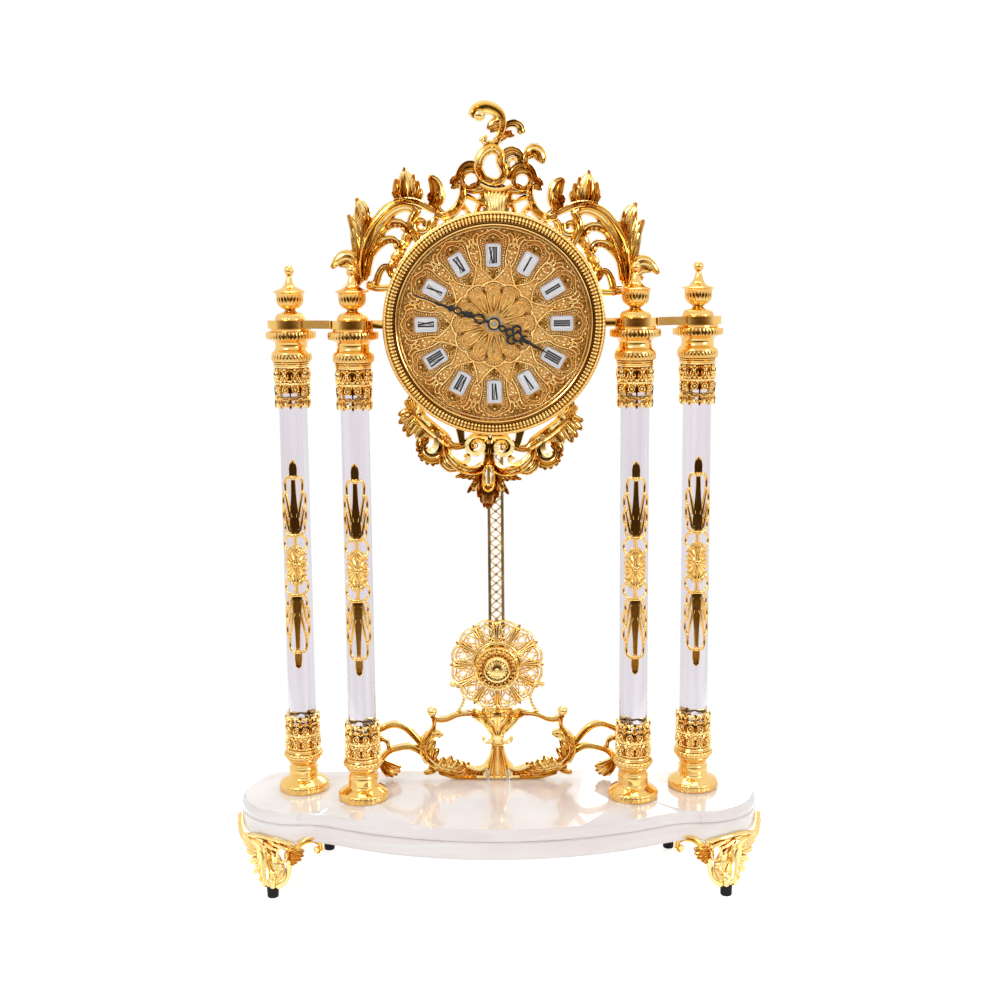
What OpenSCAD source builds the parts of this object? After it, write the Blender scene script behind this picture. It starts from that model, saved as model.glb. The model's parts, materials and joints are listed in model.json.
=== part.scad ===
// Portico mantel clock: four crystal columns on an onyx slab carry a gilt drum with a
// quartz movement, and a lattice pendulum hangs between them.
// The origin is on the table under the slab's centre, +Z up, the dial faces -Y.

/* [Onyx slab and feet] */
// Width of the slab across its round corner lobes
slab_w = 397; // [380:1:420]
// Depth of the slab from the bowed front to the straight back
slab_d = 122.6; // [112:0.2:134]
// Thickness of the slab
slab_t = 22; // [18:0.5:28]
// Radius of the corner lobes
lobe_r = 46; // [42:1:50]
// Radius of the bowed front
bow_r = 290; // [260:5:340]
// How far the corner lobes stand in front of the bow beside them
lobe_stand = 10.7; // [8:0.1:14]
// Height of the slab's underside above the table
foot_h = 41; // [36:0.5:48]
// Height of a rubber pad
pad_h = 9; // [6:0.5:12]
// Diameter of a rubber pad
pad_d = 9; // [7:0.5:11]
// Distance between the rear feet's centres
rear_foot_span = 273.6; // [220:1:300]
// Distance of the rear feet from the slab's back edge
rear_foot_in = 8.4; // [7:0.2:16]
// Thickness of the front feet's curved casting
foot_wall = 4; // [3:0.5:5]

/* [Columns] */
// Distance between the outer columns' axes
outer_span = 303; // [296:1:312]
// Distance between the inner columns' axes
inner_span = 206; // [204:1:216]
// Distance of the outer columns' axes from the slab's back edge
column_back = 36; // [33:0.5:40]
// Step of the inner columns in front of the outer ones
column_step = 20.5; // [16:0.5:24]
// Diameter of a crystal rod
rod_d = 21; // [18:0.5:22]
// Length of a crystal rod
rod_len = 298; // [270:1:320]
// Height of a column's turned base
base_h = 32; // [28:0.5:38]
// Diameter of the base's flange
flange_d = 38.2; // [34:0.2:40]
// Height of the lower filigree sleeve
low_sleeve_h = 29; // [22:0.5:36]
// Height of the upper filigree sleeve
top_sleeve_h = 32; // [24:0.5:40]
// Wall of the filigree sleeves
sleeve_wall = 2.8; // [2:0.1:3.5]
// Height of a column's capital
capital_h = 28; // [24:0.5:34]
// Diameter of the capital's ribbed disc
disc_d = 37.2; // [34:0.2:38]
// Thickness of the top bars
bar_t = 6; // [4:0.5:8]
// Diameter of a finial's lid
lid_d = 24.4; // [20:0.2:25]
// Length of a rod's filigree mount
applique_len = 162; // [130:1:180]

/* [Drum and dial] */
// Outer diameter of the bezel
bezel_d = 159.6; // [156:0.2:162]
// Diameter of the dial that the bezel leaves open
dial_open_d = 138.8; // [134:0.2:142]
// Depth of the bezel
bezel_t = 8.5; // [8:0.1:10]
// Outer diameter of the drum
drum_d = 148; // [147:0.2:149]
// Wall of the drum
drum_wall = 1.5; // [1.2:0.1:2]
// Distance of the bezel's face behind the slab's foremost point
face_in = 41.6; // [38:0.2:44]
// Depth of the drum behind the bezel's face
drum_depth = 53; // [51:0.5:60]
// Depth of the dial's face behind the bezel's face
dial_in = 9; // [8.6:0.1:9.6]
// Thickness of the dial plate
dial_t = 1.2; // [1:0.1:1.4]
// Thickness of the glass
lens_t = 1.5; // [1.2:0.1:1.8]
// Length of the minute hand
minute_len = 62.5; // [56:0.5:66]
// Length of the hour hand
hour_len = 43.5; // [36:0.5:50]
// Clockwise angle of the minute hand from twelve
minute_at = 290.5; // [0:0.5:360]
// Clockwise angle of the hour hand from twelve
hour_at = 119; // [0:0.5:360]
// Radius of the ring of numeral plates
numeral_r = 48.7; // [46:0.1:50]
// Clockwise turn of the crest on the drum
crest_turn = 1.6; // [0:0.1:2]
// Clockwise turn of the drop ornament on the drum
drop_turn = 2.5; // [0:0.1:3]
// Thickness of the crest and of the drop ornament
casting_t = 6; // [4:0.5:7]

/* [Pendulum and gallery] */
// Distance from the pendulum's pivot to the bob's centre
pendulum_len = 245.5; // [230:0.5:252]
// Width of the lattice rod
lattice_w = 12.2; // [11:0.2:14]
// Diameter of the bob
bob_d = 72.6; // [66:0.2:76]
// Diameter of the bob's raised medallion
medal_d = 34.4; // [30:0.2:38]
// Thickness of the gallery frame
gallery_t = 5; // [4:0.5:7]
// Distance of the gallery frame's face from the slab's back edge
gallery_in = 24.5; // [22:0.5:27]

/* [Movement] */
// Width of the movement case
move_w = 56; // [54:0.5:60]
// Depth of the movement case without its cover
move_t = 16; // [15.6:0.1:17]
// Thickness of the movement's cover
cover_t = 2; // [1.6:0.1:2.4]
// Gear module of the motion work
gear_m = 0.5; // [0.48:0.01:0.5]
// Diameter of the battery
battery_d = 14.2; // [13.8:0.1:14.4]
// Length of the battery
battery_len = 50.5; // [49.5:0.1:51]
// Diameter of the setting knob
knob_d = 11; // [9:0.2:12]

/* [Hidden] */
$fn = 64;

// Running clearance of shafts, fitting gap of fixed curved pieces, gap of a loose slide
run_gap = 0.08;
fit_gap = 0.1;
loose_gap = 0.3;
eps = 0.01;

gold = "goldenrod";
black = "#202024";

// Heights of the column stack
slab_top = foot_h + slab_t;
rod_z = slab_top + base_h;
capital_z = rod_z + rod_len;
bar_z = capital_z + capital_h;
finial_z = bar_z + bar_t;
lid_h = 22.6;
axis_z = bar_z + bar_t / 2;
rod_r = rod_d / 2;
sleeve_in = rod_r + 0.2;
sleeve_out = sleeve_in + sleeve_wall;

// Depths
slab_back = slab_d / 2;
outer_y = slab_back - column_back;
inner_y = outer_y - column_step;
face_y = -slab_d / 2 + face_in;
bezel_r = bezel_d / 2;
drum_r = drum_d / 2;
drum_in = drum_r - drum_wall;
drum_back = face_y + drum_depth;
lens_y = face_y + 2.5;
rim_y = lens_y + lens_t + 0.1;
dial_y = face_y + dial_in;
dial_back = dial_y + dial_t;
case_y = dial_back + fit_gap;
cover_y = case_y + move_t;
cover_back = cover_y + cover_t;
swing_y = cover_back + 6.7;
crest_y = swing_y - casting_t / 2;
drop_y = face_y + bezel_t + loose_gap;
gallery_y = slab_back - gallery_in;

// Column places: outer left, inner left, inner right, outer right
COLUMNS = [
    [-outer_span / 2, outer_y], [-inner_span / 2, inner_y],
    [inner_span / 2, inner_y], [outer_span / 2, outer_y]
];

// Corner lobes and feet
lobe_x = slab_w / 2 - lobe_r;
lobe_y = bow_r - slab_d / 2 - sqrt(bow_r * bow_r - lobe_x * lobe_x) - lobe_stand + lobe_r;
shell_in = lobe_r + 0.4;
shell_out = shell_in + foot_wall;
foot_face = 60;
toe_turn = 11;
toe_r = shell_out + 0.6;
pad_r = pad_d / 2;

// Motion work: cannon pinion 10, minute wheel 30 with an 8-leaf pinion, hour wheel 32
cannon_n = 10;
wheel_n = 30;
leaf_n = 8;
hour_n = 32;
gear_gap = gear_m * (cannon_n + wheel_n) / 2;
arbor_r = 1.62;
tube_in = arbor_r + run_gap;
tube_out = 2.6;
bush_in = tube_out + run_gap;
bush_out = 4;
pivot_r = 1;
stem_r = 1.2;
wall = 1.5;
hour_y = dial_y - 2.6;
minute_y = dial_y - 3.6;
hand_t = 0.5;
gear_y = case_y + wall + loose_gap;
gear_w = 2;
case_up = 34;
case_down = 34;
battery_z = axis_z + 19.2;
battery_r = battery_d / 2;
battery_y = cover_y - battery_r + 0.1;
bay = battery_r + 0.3;
swing_z = axis_z - 14;
peg_drop = 21;
peg_r = 1.5;
rod_t = 1.5;
bob_z = swing_z - pendulum_len;
bob_t = 2.5;
window_w = 64;
window_up = 40;
window_down = 46;
slot_w = 30;
slot_d = 11;
screw_r = 2.4;
screw_head = 5;

// Smooth curve through points, n steps in each span
function spline(p, i, t) = let (
    a = p[max(i - 1, 0)], b = p[i], c = p[i + 1], d = p[min(i + 2, len(p) - 1)]
) 0.5 * ((2 * b) + (c - a) * t + (2 * a - 5 * b + 4 * c - d) * t * t
    + (3 * b - a - 3 * c + d) * t * t * t);
function curve(p, n = 3) = [
    for (i = [0 : len(p) - 2], k = [0 : n - 1]) spline(p, i, k / n), p[len(p) - 1]
];
function ring(r, n, from = 0) = [for (i = [0 : n - 1]) r * [cos(from + 360 * i / n), sin(from + 360 * i / n)]];
function arc(r, a, b, n = 12) = [for (i = [0 : n]) r * [cos(a + (b - a) * i / n), sin(a + (b - a) * i / n)]];

// Round-ended stroke along a smooth curve, its width going from w to e
module stroke(p, w, e, n = 3) {
    q = curve(p, n);
    m = len(q) - 1;
    side = [for (i = [0 : m]) let (
        v = q[min(i + 1, m)] - q[max(i - 1, 0)]
    ) [-v[1], v[0]] / norm(v) * (w + (e - w) * i / m) / 2];
    for (i = [0 : m - 1]) polygon([q[i] + side[i], q[i + 1] + side[i + 1], q[i + 1] - side[i + 1], q[i] - side[i]]);
    translate(q[0]) circle(d = w, $fn = 12);
    translate(q[m]) circle(d = e, $fn = 12);
}

// Ring of width w round a centre
module hoop(c, r, w) {
    translate(c) difference() {
        circle(r + w / 2, $fn = 32);
        circle(r - w / 2, $fn = 32);
    }
}

// Shape and its mirror image in x
module both() {
    children();
    mirror([1, 0]) children();
}

// Upright plate of a flat drawing, its face at y
module plate(y, t) {
    translate([0, y + t, 0]) rotate([90, 0, 0]) linear_extrude(t) offset(delta = 0.001) children();
}

// Piece turned about an axis along Y, drawn as radius and y
module turned_y(x = 0, z = axis_z) {
    translate([x, 0, z]) rotate([-90, 0, 0]) rotate_extrude() children();
}

// Round rod along Y from y to y + h
module rod_y(y, h, r, x = 0, z = axis_z) {
    translate([x, y, z]) rotate([-90, 0, 0]) cylinder(h = h, r = r);
}

// Slab outline, drawn in by the given amount
module slab_outline(inset = 0) {
    offset(delta = -inset) offset(r = -60, $fn = 60) offset(r = 60, $fn = 60) {
        intersection() {
            translate([0, bow_r - slab_d / 2]) circle(bow_r, $fn = 144);
            translate([-lobe_x, -slab_d / 2]) square([2 * lobe_x, slab_d]);
        }
        both() offset(r = 24, $fn = 60) polygon([
            for (a = [180 : 10 : 370]) [lobe_x, lobe_y] + (lobe_r - 24) * [cos(a), sin(a)],
            [slab_w / 2 - 30.5, slab_back - 24], [lobe_x - 20, slab_back - 24]
        ]);
    }
}

module slab_screw_places() {
    for (c = COLUMNS) translate([c[0], c[1], foot_h]) children();
    for (s = [-1, 1]) translate([s * 8, gallery_y + gallery_t / 2, foot_h]) children();
}

module onyx_base() {
    shoulder = 5;
    band = 13;
    steps = 4;
    color("mistyrose") difference() {
        union() {
            translate([0, 0, foot_h]) linear_extrude(0.8) slab_outline(0.7);
            translate([0, 0, foot_h + 0.8]) linear_extrude(band - 1.6) slab_outline();
            translate([0, 0, foot_h + band - 0.8]) linear_extrude(0.8) slab_outline(0.7);
            translate([0, 0, foot_h + band]) linear_extrude(0.8) slab_outline(2);
            translate([0, 0, foot_h + band + 0.8]) linear_extrude(slab_t - band - 0.8 - shoulder) slab_outline(0.5);
            for (i = [0 : steps - 1]) {
                z = shoulder * i / steps;
                translate([0, 0, slab_top - shoulder + z]) linear_extrude(shoulder / steps)
                    slab_outline(0.5 + shoulder - sqrt(shoulder * shoulder - pow(z + shoulder / steps / 2, 2)));
            }
        }
        slab_screw_places() {
            translate([0, 0, -1]) cylinder(h = slab_t + 2, r = screw_r + 0.2);
            translate([0, 0, -1]) cylinder(h = 9, r = screw_head + 1);
        }
        foot_screw_places() translate([0, 0, -1]) cylinder(h = 13, r = 1.6);
    }
}

module foot_screw_places() {
    for (s = [-1, 1]) {
        for (a = [-24, 24]) translate([
            s * (lobe_x + (lobe_r - 10) * cos(foot_face + a)), lobe_y - (lobe_r - 10) * sin(foot_face + a), foot_h
        ]) children();
        translate([s * rear_foot_span / 2, slab_back - rear_foot_in, foot_h]) children();
    }
}

// Silhouette of a front foot seen along its own facing, x to the toe's side
module foot_outline() {
    top = foot_h + 2.5;
    toe = shell_out * sin(toe_turn);
    difference() {
        union() {
            polygon([
                [-22, top], [22, top - 0.5], [25, top - 6], [29, foot_h - 6], [28, foot_h - 13], [24, foot_h - 17],
                [19, foot_h - 18], [19, foot_h - 24], [toe + 6, pad_h + 1], [toe + 4, pad_h], [toe - 5, pad_h],
                [-3, pad_h + 2], [-8, pad_h + 4], [-12, foot_h - 22], [-13, foot_h - 17], [-19, foot_h - 18],
                [-25, foot_h - 15], [-28, foot_h - 9], [-24, top - 6]
            ]);
            both() {
                stroke([[23, foot_h - 4], [28, foot_h], [34, foot_h + 3], [39, foot_h + 0.5], [40.5, foot_h - 4]], 4, 3);
                translate([38, foot_h - 6]) circle(2.6, $fn = 24);
            }
        }
        translate([15, foot_h - 10]) scale([0.6, 1]) circle(4.6, $fn = 24);
        translate([-15, foot_h - 10]) scale([0.6, 1]) circle(4.6, $fn = 24);
        translate([6, foot_h - 4]) circle(1.6, $fn = 16);
        translate([-6, foot_h - 4]) circle(1.6, $fn = 16);
        translate([11, foot_h - 21]) circle(1.7, $fn = 16);
        translate([-5, foot_h - 22]) circle(1.7, $fn = 16);
    }
}

// Front foot on the right side: a curved bracket round the corner lobe with a lug under the slab
module front_foot() {
    color(gold) difference() {
        union() {
            translate([lobe_x, lobe_y, 0]) intersection() {
                difference() {
                    cylinder(h = foot_h + 20, r = shell_out);
                    translate([0, 0, -1]) cylinder(h = foot_h + 22, r = shell_in);
                }
                rotate([0, 0, 90 - foot_face]) translate([0, -20, 0]) rotate([90, 0, 0])
                    linear_extrude(shell_out) offset(delta = 0.001) mirror([1, 0]) foot_outline();
            }
            translate([lobe_x, lobe_y, foot_h - 3]) intersection() {
                difference() {
                    cylinder(h = 3, r = shell_in + 1);
                    translate([0, 0, -1]) cylinder(h = 5, r = lobe_r - 16);
                }
                rotate([0, 0, -foot_face]) translate([0, -24, -1]) cube([shell_out, 48, 5]);
            }
            translate([toe_x, toe_y, pad_h]) cylinder(h = 9, r = 5.4);
        }
        translate([0, 0, foot_h]) linear_extrude(slab_t) slab_outline(-loose_gap);
        foot_screw_places() translate([0, 0, -4]) cylinder(h = 5, r = 1.8);
        translate([toe_x, toe_y, pad_h - 1]) cylinder(h = 6, r = 2 + fit_gap);
    }
}
toe_x = lobe_x + toe_r * cos(foot_face + toe_turn);
toe_y = lobe_y - toe_r * sin(foot_face + toe_turn);

module foot_front_right() front_foot();
module foot_front_left() mirror([1, 0, 0]) front_foot();

// Rear foot: a turned post under the slab
module rear_foot(s) {
    color(gold) translate([s * rear_foot_span / 2, slab_back - rear_foot_in, 0]) difference() {
        rotate_extrude() polygon([
            [0, pad_h], [5.5, pad_h], [6, pad_h + 3], [4.5, pad_h + 8], [5, foot_h - 8], [7, foot_h - 3],
            [7, foot_h], [0, foot_h]
        ]);
        translate([0, 0, pad_h - 1]) cylinder(h = 6, r = 2 + fit_gap);
        translate([0, 0, foot_h - 12]) cylinder(h = 13, r = 1.5 + fit_gap);
    }
}
module foot_rear_left() rear_foot(-1);
module foot_rear_right() rear_foot(1);

module foot_pads() {
    places = [
        [-toe_x, toe_y], [toe_x, toe_y],
        [-rear_foot_span / 2, slab_back - rear_foot_in], [rear_foot_span / 2, slab_back - rear_foot_in]
    ];
    color(black) for (p = places) translate([p[0], p[1], 0]) rotate_extrude() polygon([
        [0, 0], [pad_r - 0.6, 0], [pad_r - 0.3, 0.5], [pad_r, pad_h], [2, pad_h], [2, pad_h + 4.5], [0, pad_h + 4.5]
    ]);
}

// Wood-type screws through the front feet's lugs, and double-ended studs of the rear feet
module foot_screws() {
    color("silver") for (s = [-1, 1]) {
        for (a = [-24, 24]) translate([
            s * (lobe_x + (lobe_r - 10) * cos(foot_face + a)), lobe_y - (lobe_r - 10) * sin(foot_face + a), foot_h
        ]) {
            translate([0, 0, -3]) cylinder(h = 13, r = 1.5);
            translate([0, 0, -5]) cylinder(h = 2, r = 3.2);
        }
        translate([s * rear_foot_span / 2, slab_back - rear_foot_in, foot_h - 10]) cylinder(h = 20, r = 1.5);
    }
}

// Turned column base: flange, bead, neck, collar and ribbed torus, with a blind hole for its screw
module column_base(i) {
    f = flange_d / 2;
    z = slab_top;
    top = rod_z;
    color(gold) translate([COLUMNS[i][0], COLUMNS[i][1], 0]) difference() {
        rotate_extrude() polygon([
            [0, z], [f - 1, z], [f, z + 1.2], [f, z + 6.6], [f - 1.2, z + 7.8], [f - 1.8, z + 8.4],
            [f - 1.8, z + 9.2], [f - 4, z + 10.2], [rod_r + 1, z + 11.2], [rod_r - 0.7, z + 12.6],
            [rod_r - 0.7, z + 16.5], [rod_r + 1, z + 17.4], [rod_r + 1, z + 19], [rod_r, z + 20.2],
            [rod_r + 2.5, top - 8], [rod_r + 4.6, top - 5.5], [rod_r + 4.6, top - 2], [sleeve_out, top - 0.6],
            [sleeve_out, top], [0, top]
        ]);
        translate([0, 0, z - 1]) cylinder(h = 17, r = screw_r + fit_gap);
    }
}

// Filigree sleeve: a tube whose open end at z = h is scalloped, with a row of round holes
module sleeve(h) {
    n = 10;
    difference() {
        cylinder(h = h, r = sleeve_out);
        translate([0, 0, -1]) cylinder(h = h + 2, r = sleeve_in);
        for (i = [0 : n - 1]) rotate([0, 0, 360 * (i + 0.5) / n]) {
            translate([sleeve_in - 1.5, 0, h + 0.6]) rotate([0, 90, 0]) cylinder(h = 6, r = 2.4);
            translate([sleeve_in - 1.5, 0, h - 10]) rotate([0, 90, 0]) cylinder(h = 6, r = 1.5);
        }
    }
}
module lower_sleeves() {
    color(gold) for (c = COLUMNS) translate([c[0], c[1], rod_z]) sleeve(low_sleeve_h);
}
module upper_sleeves() {
    color(gold) for (c = COLUMNS) translate([c[0], c[1], capital_z]) mirror([0, 0, 1]) sleeve(top_sleeve_h);
}

// Crystal rod, standing on the base and carrying the capital
module column_rod(i) {
    color("lavender", 0.5) translate([COLUMNS[i][0], COLUMNS[i][1], rod_z]) cylinder(h = rod_len, r = rod_r);
}

// Filigree mount bent round a rod's front: a quarter drawn upwards, x to the right
module applique_quarter() {
    h = applique_len / 2;
    polygon([[-eps, h], [1.2, h - 3], [2.3, h - 9], [1.6, h - 13], [-eps, h - 13]]);
    polygon([[-eps, h - 11], [0.9, h - 12], [3.4, h - 56], [-eps, h - 58]]);
    stroke([[0, h - 12.5], [5, h - 15], [6.2, h - 20], [6, h - 25]], 1.6, 1.4);
    stroke([[6, h - 24], [8.6, h - 28], [8, h - 35]], 1.6, 1.4);
    stroke([[6, h - 24.5], [4.4, h - 32], [2, h - 40]], 1.3, 1.8);
    stroke([[7.6, h - 35], [8.8, h - 40], [7.6, h - 47]], 1.6, 1.4);
    stroke([[7.4, h - 35.5], [5.4, h - 42], [3, h - 49]], 1.3, 1.8);
    stroke([[7.6, h - 46], [6.4, h - 52], [4, h - 57.5], [0, h - 58]], 1.6, 1.6);
    stroke([[0, h - 58], [5, h - 59], [8.2, h - 63], [7.4, h - 68], [4, h - 69], [1.4, h - 66.5]], 1.5, 1.5);
    stroke([[0, h - 57], [0, h - 72]], 2.6, 2.6);
    stroke([[7.4, h - 66], [6, h - 72], [4, h - 76]], 1.5, 2.2);
}
module applique_mount(i) {
    zc = (rod_z + low_sleeve_h + capital_z - top_sleeve_h) / 2;
    color(gold) translate([COLUMNS[i][0], COLUMNS[i][1], zc]) intersection() {
        plate(-rod_r - 3, rod_r) {
            both() {
                applique_quarter();
                mirror([0, 1]) applique_quarter();
            }
            circle(8.3, $fn = 32);
        }
        translate([0, 0, -applique_len / 2 - 1]) difference() {
            cylinder(h = applique_len + 2, r = rod_r + fit_gap + 1.2);
            translate([0, 0, -1]) cylinder(h = applique_len + 4, r = rod_r + fit_gap);
        }
    }
}

// Turned capital: thin rings, ribbed ring, beaded neck, cove and coin-edged disc
module capital(i) {
    z = capital_z;
    top = bar_z;
    d = disc_d / 2;
    color(gold) translate([COLUMNS[i][0], COLUMNS[i][1], 0]) difference() {
        rotate_extrude() polygon([
            [0, z], [sleeve_out + 0.2, z], [sleeve_out + 0.2, z + 2.6], [rod_r + 4.6, z + 3.4],
            [rod_r + 4.6, z + 8], [rod_r + 2, z + 9.4], [rod_r + 0.6, z + 10.4], [rod_r + 0.6, z + 15],
            [rod_r + 1.6, top - 11.5], [d - 2.4, top - 8.8], [d, top - 8], [d, top - 2.4],
            [d - 2, top - 2], [d - 2, top], [0, top]
        ]);
        translate([0, 0, top - 13]) cylinder(h = 14, r = 3 + fit_gap);
    }
}

// Urn finial with a ball, its stud going through the top bar into the capital
module finial(i) {
    l = lid_d / 2;
    color(gold) translate([COLUMNS[i][0], COLUMNS[i][1], finial_z]) {
        rotate_extrude() polygon([
            [0, 0], [l - 0.8, 0], [l - 0.8, 1.3], [l - 1.8, 3.5], [7, 6], [4, 7], [4, 8], [6, 9.2],
            [l - 3, 12], [l - 2, 16], [l - 2, lid_h - 3.2], [l, lid_h - 2.4], [l, lid_h - 1.4], [l - 1.2, lid_h],
            [7, lid_h + 1.4], [3.8, 25.5], [3.2, 27.5], [2.4, 30], [2, 34], [0, 34]
        ]);
        translate([0, 0, 36.4]) sphere(3.7);
        translate([0, 0, -bar_t - 9]) cylinder(h = bar_t + 9.5, r = 3);
    }
}

// Flat bar from the outer to the inner column and on to the drum, right side
module top_bar() {
    eye = disc_d / 2 - 1.4;
    color(gold) difference() {
        translate([0, 0, bar_z]) linear_extrude(bar_t) offset(delta = 0.001) {
            translate(COLUMNS[3]) circle(eye);
            translate(COLUMNS[2]) circle(eye);
            hull() {
                translate(COLUMNS[3]) circle(8);
                translate(COLUMNS[2]) circle(8);
            }
            translate([drum_r + fit_gap, inner_y - 8]) square([inner_span / 2 - drum_r, 16]);
        }
        for (i = [2, 3]) translate([COLUMNS[i][0], COLUMNS[i][1], bar_z - 1])
            cylinder(h = bar_t + 2, r = 3 + fit_gap);
        bar_screw_places() translate([0, 0, -1]) cylinder(h = 9, r = 1.1);
    }
}
module bar_screw_places() {
    for (dy = [-5, 5]) translate([drum_r, inner_y + dy, axis_z]) rotate([0, 90, 0]) children();
}
module top_bar_right() top_bar();
module top_bar_left() mirror([1, 0, 0]) top_bar();

// Screws from under the slab into the columns and the gallery frame
module base_screws() {
    color("silver") slab_screw_places() {
        translate([0, 0, 4]) cylinder(h = 4, r = screw_head);
        translate([0, 0, 8]) cylinder(h = slab_t + 1, r = screw_r);
    }
}

// Gallery frame behind the bob, half drawn to the right
module gallery_half() {
    stroke([[0, 118], [12, 115], [22, 117], [32, 116], [40, 112.5], [47, 112.5], [51, 116]], 5, 3.6);
    translate([51.5, 119]) circle(4.2, $fn = 24);
    stroke([[33, 116], [28, 123], [26, 131], [29, 138], [34, 141]], 3.2, 3.2);
    translate([34.5, 141]) circle(2.6, $fn = 20);
    stroke([[50, 114], [49.5, 107], [54, 100], [58.5, 92], [58, 84], [53, 77], [46, 72]], 3.4, 5);
    stroke([[44, 99], [48, 102], [53, 99], [55, 91], [52, 82], [47, 76]], 3.6, 8);
    polygon([[4, 90], [7, 79], [13, 73], [22, 72], [26, 75], [32, 73], [37, 79], [44, 79], [50, 74], [57, 70],
        [48, 68], [38, 65], [26, slab_top + 1], [10, slab_top], [0, slab_top], [0, 90]]);
    polygon([[0, 98], [3.5, 98], [6, 101], [9, 110], [16, 114], [18, 121], [8, 124], [0, 122]]);
    polygon([[0, 100], [6.5, 98], [6, 94], [4.5, 88], [0, 88]]);
    stroke([[5, 94], [9, 93.5], [10.5, 96.5]], 2.6, 2.2);
    stroke([[56, 84], [64, 97], [72, 105.5], [81, 108.5], [90, 106], [98, 101]], 5, 4);
    stroke([[57, 84], [68, 90], [78, 89.5], [87, 86], [92, 79], [90, 71], [84, 68.5]], 5, 4.5);
    stroke([[86, 88], [87, 94], [91, 96.5], [96, 95.5]], 3, 4);
    translate([84.5, 71.5]) scale([1.25, 1]) circle(6, $fn = 28);
}
module gallery_frame() {
    color(gold) difference() {
        translate([0, 0, slab_top - 63]) plate(gallery_y, gallery_t) intersection() {
            both() gallery_half();
            translate([-120, 63]) square([240, 100]);
        }
        slab_screw_places() cylinder(h = slab_t + 10, r = screw_r + fit_gap);
    }
}

// Drum: a gilt tube with a dial ledge, four lugs for the cover and a slot for the pendulum
module drum_case() {
    color(gold) difference() {
        union() {
            turned_y() polygon([
                [drum_in, rim_y], [drum_r, rim_y], [drum_r, drum_back], [drum_in, drum_back],
                [drum_in, dial_back + 1.7], [drum_in - 3, dial_back + 1.7], [drum_in - 3, dial_back + fit_gap],
                [drum_in, dial_back + fit_gap]
            ]);
            lug_places() rod_y(drum_back - 9, 9 - wall - 0.1, 3.6, drum_in - 3.2, 0);
        }
        lug_places() rod_y(drum_back - 8, 9, 1.1, drum_in - 3.2, 0);
        translate([-slot_w / 2, swing_y - slot_d / 2, axis_z - drum_r - 5]) cube([slot_w, slot_d, 15]);
        for (s = [0, 1]) mirror([s, 0, 0]) bar_screw_places() translate([0, 0, -5]) cylinder(h = 10, r = 1.1);
    }
}
module lug_places() {
    for (a = [45 : 90 : 315]) translate([0, 0, axis_z]) rotate([0, a, 0]) children();
}

// Back cover with a window for the battery, the setting knob and the pendulum's hook
module back_cover() {
    color(gold) difference() {
        rod_y(drum_back - wall, wall, drum_in - fit_gap);
        translate([-window_w / 2, drum_back - 5, axis_z - window_down])
            cube([window_w, 10, window_up + window_down]);
        lug_places() rod_y(drum_back - 5, 9, 1.2, drum_in - 3.2, 0);
    }
}

module case_screws() {
    color("silver") {
        lug_places() {
            rod_y(drum_back, 1.4, 2.4, drum_in - 3.2, 0);
            rod_y(drum_back - 7, 7, 1, drum_in - 3.2, 0);
        }
        for (s = [0, 1]) mirror([s, 0, 0]) bar_screw_places() {
            translate([0, 0, -drum_wall - 0.1 - 1.6]) cylinder(h = 1.5, r = 2);
            translate([0, 0, -drum_wall - 0.2]) cylinder(h = 9, r = 1);
        }
    }
}

// Bezel: a stepped ring over the glass and the drum's front rim
module bezel() {
    i = dial_open_d / 2;
    o = bezel_r;
    back = face_y + bezel_t;
    color(gold) turned_y() polygon([
        [i, lens_y - 0.05], [i, face_y + 1.4], [i + 0.6, face_y + 0.8], [i + 2.4, face_y + 0.8],
        [i + 3, face_y], [o - 3.4, face_y], [o - 2.6, face_y + 1.2], [o - 1, face_y + 1.6],
        [o, face_y + 2.8], [o, back], [drum_r + fit_gap, back], [drum_r + fit_gap, lens_y - 0.05]
    ]);
}

module dial_lens() {
    color("white", 0.2) rod_y(lens_y, lens_t, drum_r - 0.4);
}

module dial_plate() {
    color("darkgoldenrod") difference() {
        rod_y(dial_y, dial_t, drum_in - 0.2);
        rod_y(dial_y - 1, dial_t + 2, bush_out + fit_gap);
    }
}

// Twelve enamel plates, a little wider outwards
module numeral_cartouches() {
    color("white") translate([0, 0, axis_z]) plate(dial_y - 1, 1) for (a = [0 : 30 : 330])
        rotate(a) translate([0, numeral_r]) offset(r = 2, $fn = 16) offset(delta = -2)
            polygon([[-4.8, -8.2], [4.8, -8.2], [5.5, 8.2], [-5.5, 8.2]]);
}

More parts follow.
